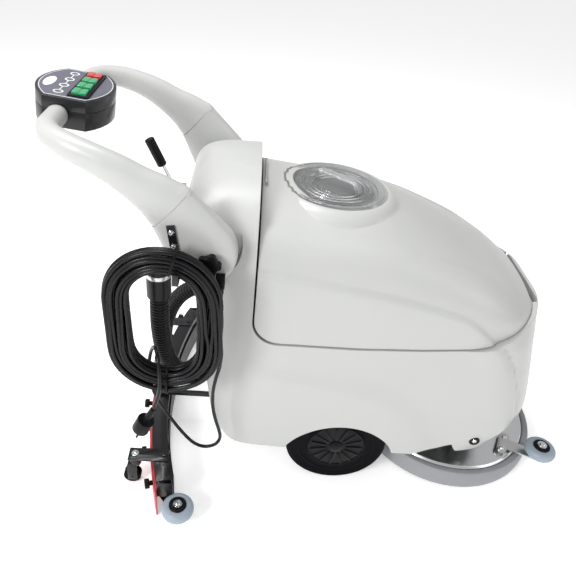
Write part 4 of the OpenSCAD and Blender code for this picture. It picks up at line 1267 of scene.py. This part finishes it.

# A solid black block set inside the filling slot: its black is painted shade for the dark inside of the
# opening
slot_shade_block = softened(block((SLOT_BACK + 1, 1 - SLOT_HALF, 452), (SLOT_FRONT - 1, SLOT_HALF - 1, 512)),
                 2, 2)
piece("filling_slot_shade_block", slot_shade_block, "chassis", BLACK)


def make_clamp(name, route, share, r, body):
    """A worm-drive band round a hose's cuff."""
    path = smooth_route([Vector(p) for p in route], 100)
    i = round(share * 100)
    axis = (path[i + 1] - path[i - 1]).normalized()
    place = Matrix.Translation(at(*path[i])) @ axis.to_track_quat("Z", "Y").to_matrix().to_4x4()
    band = turned([[r, -5], [r + 0.9, -5], [r + 1.2, -4.2], [r + 1.2, 4.2], [r + 0.9, 5], [r, 5]],
                  place, steps=48, closed=True)
    piece(name, band, body, STEEL)


make_clamp("drain_cuff_clamp", drain_route, 0.03, CUFF_R, "chassis")
make_clamp("vacuum_cuff_clamp", vacuum_route, 0.93, CUFF_R, "lift")
hanger = smooth_route([Vector(p) for p in ([-437, -215, 641], [-436, -222, 652], [-432, -232, 672],
                                           [-428, -240, 694])], 20)
piece("hose_hanger", tube(hanger, [3] * 21, [3] * 21, Vector((0, 1, 0)), around=16),
              "chassis", CHROME)

# --- floor and light -----------------------------------------------------------------
FLOOR_GLOW = 0.35
ROOM_LIGHT = 0.55
floor_mesh = bmesh.new()
bmesh.ops.create_grid(floor_mesh, x_segments=1, y_segments=1, size=14)
paper = bpy.data.materials.new("studio_floor")
paper.use_nodes = True
paper_shader = paper.node_tree.nodes["Principled BSDF"]
paper_shader.inputs["Base Color"].default_value = (0.93, 0.93, 0.93, 1)
paper_shader.inputs["Roughness"].default_value = 0.8
paper_shader.inputs["Specular IOR Level"].default_value = 0.2
paper_shader.inputs["Emission Color"].default_value = (1, 1, 1, 1)
paper_shader.inputs["Emission Strength"].default_value = FLOOR_GLOW
floor = piece("studio_floor", floor_mesh, None, paper)

world = bpy.data.worlds.new("studio")
world.use_nodes = True
world.node_tree.nodes["Background"].inputs["Color"].default_value = (1, 1, 1, 1)
world.node_tree.nodes["Background"].inputs["Strength"].default_value = ROOM_LIGHT
bpy.context.scene.world = world
bpy.context.scene.view_settings.view_transform = "Standard"


def softbox(name, place, aim, size, power):
    light = bpy.data.lights.new(name, "AREA")
    light.energy = power
    light.size = size
    obj = bpy.data.objects.new(name, light)
    bpy.context.scene.collection.objects.link(obj)
    obj.location = place
    obj.rotation_mode = "QUATERNION"
    obj.rotation_quaternion = (Vector(aim) - Vector(place)).to_track_quat("-Z", "Y")


softbox("overhead", (-0.9, 0.5, 3.2), (0, 0, 0.4), 1.2, 62)
softbox("left_window", (-2.3, -2.5, 2.3), (0, 0, 0.5), 1.0, 95)
softbox("right_fill", (2.8, -1.4, 1.6), (0.2, 0, 0.5), 2.0, 14)
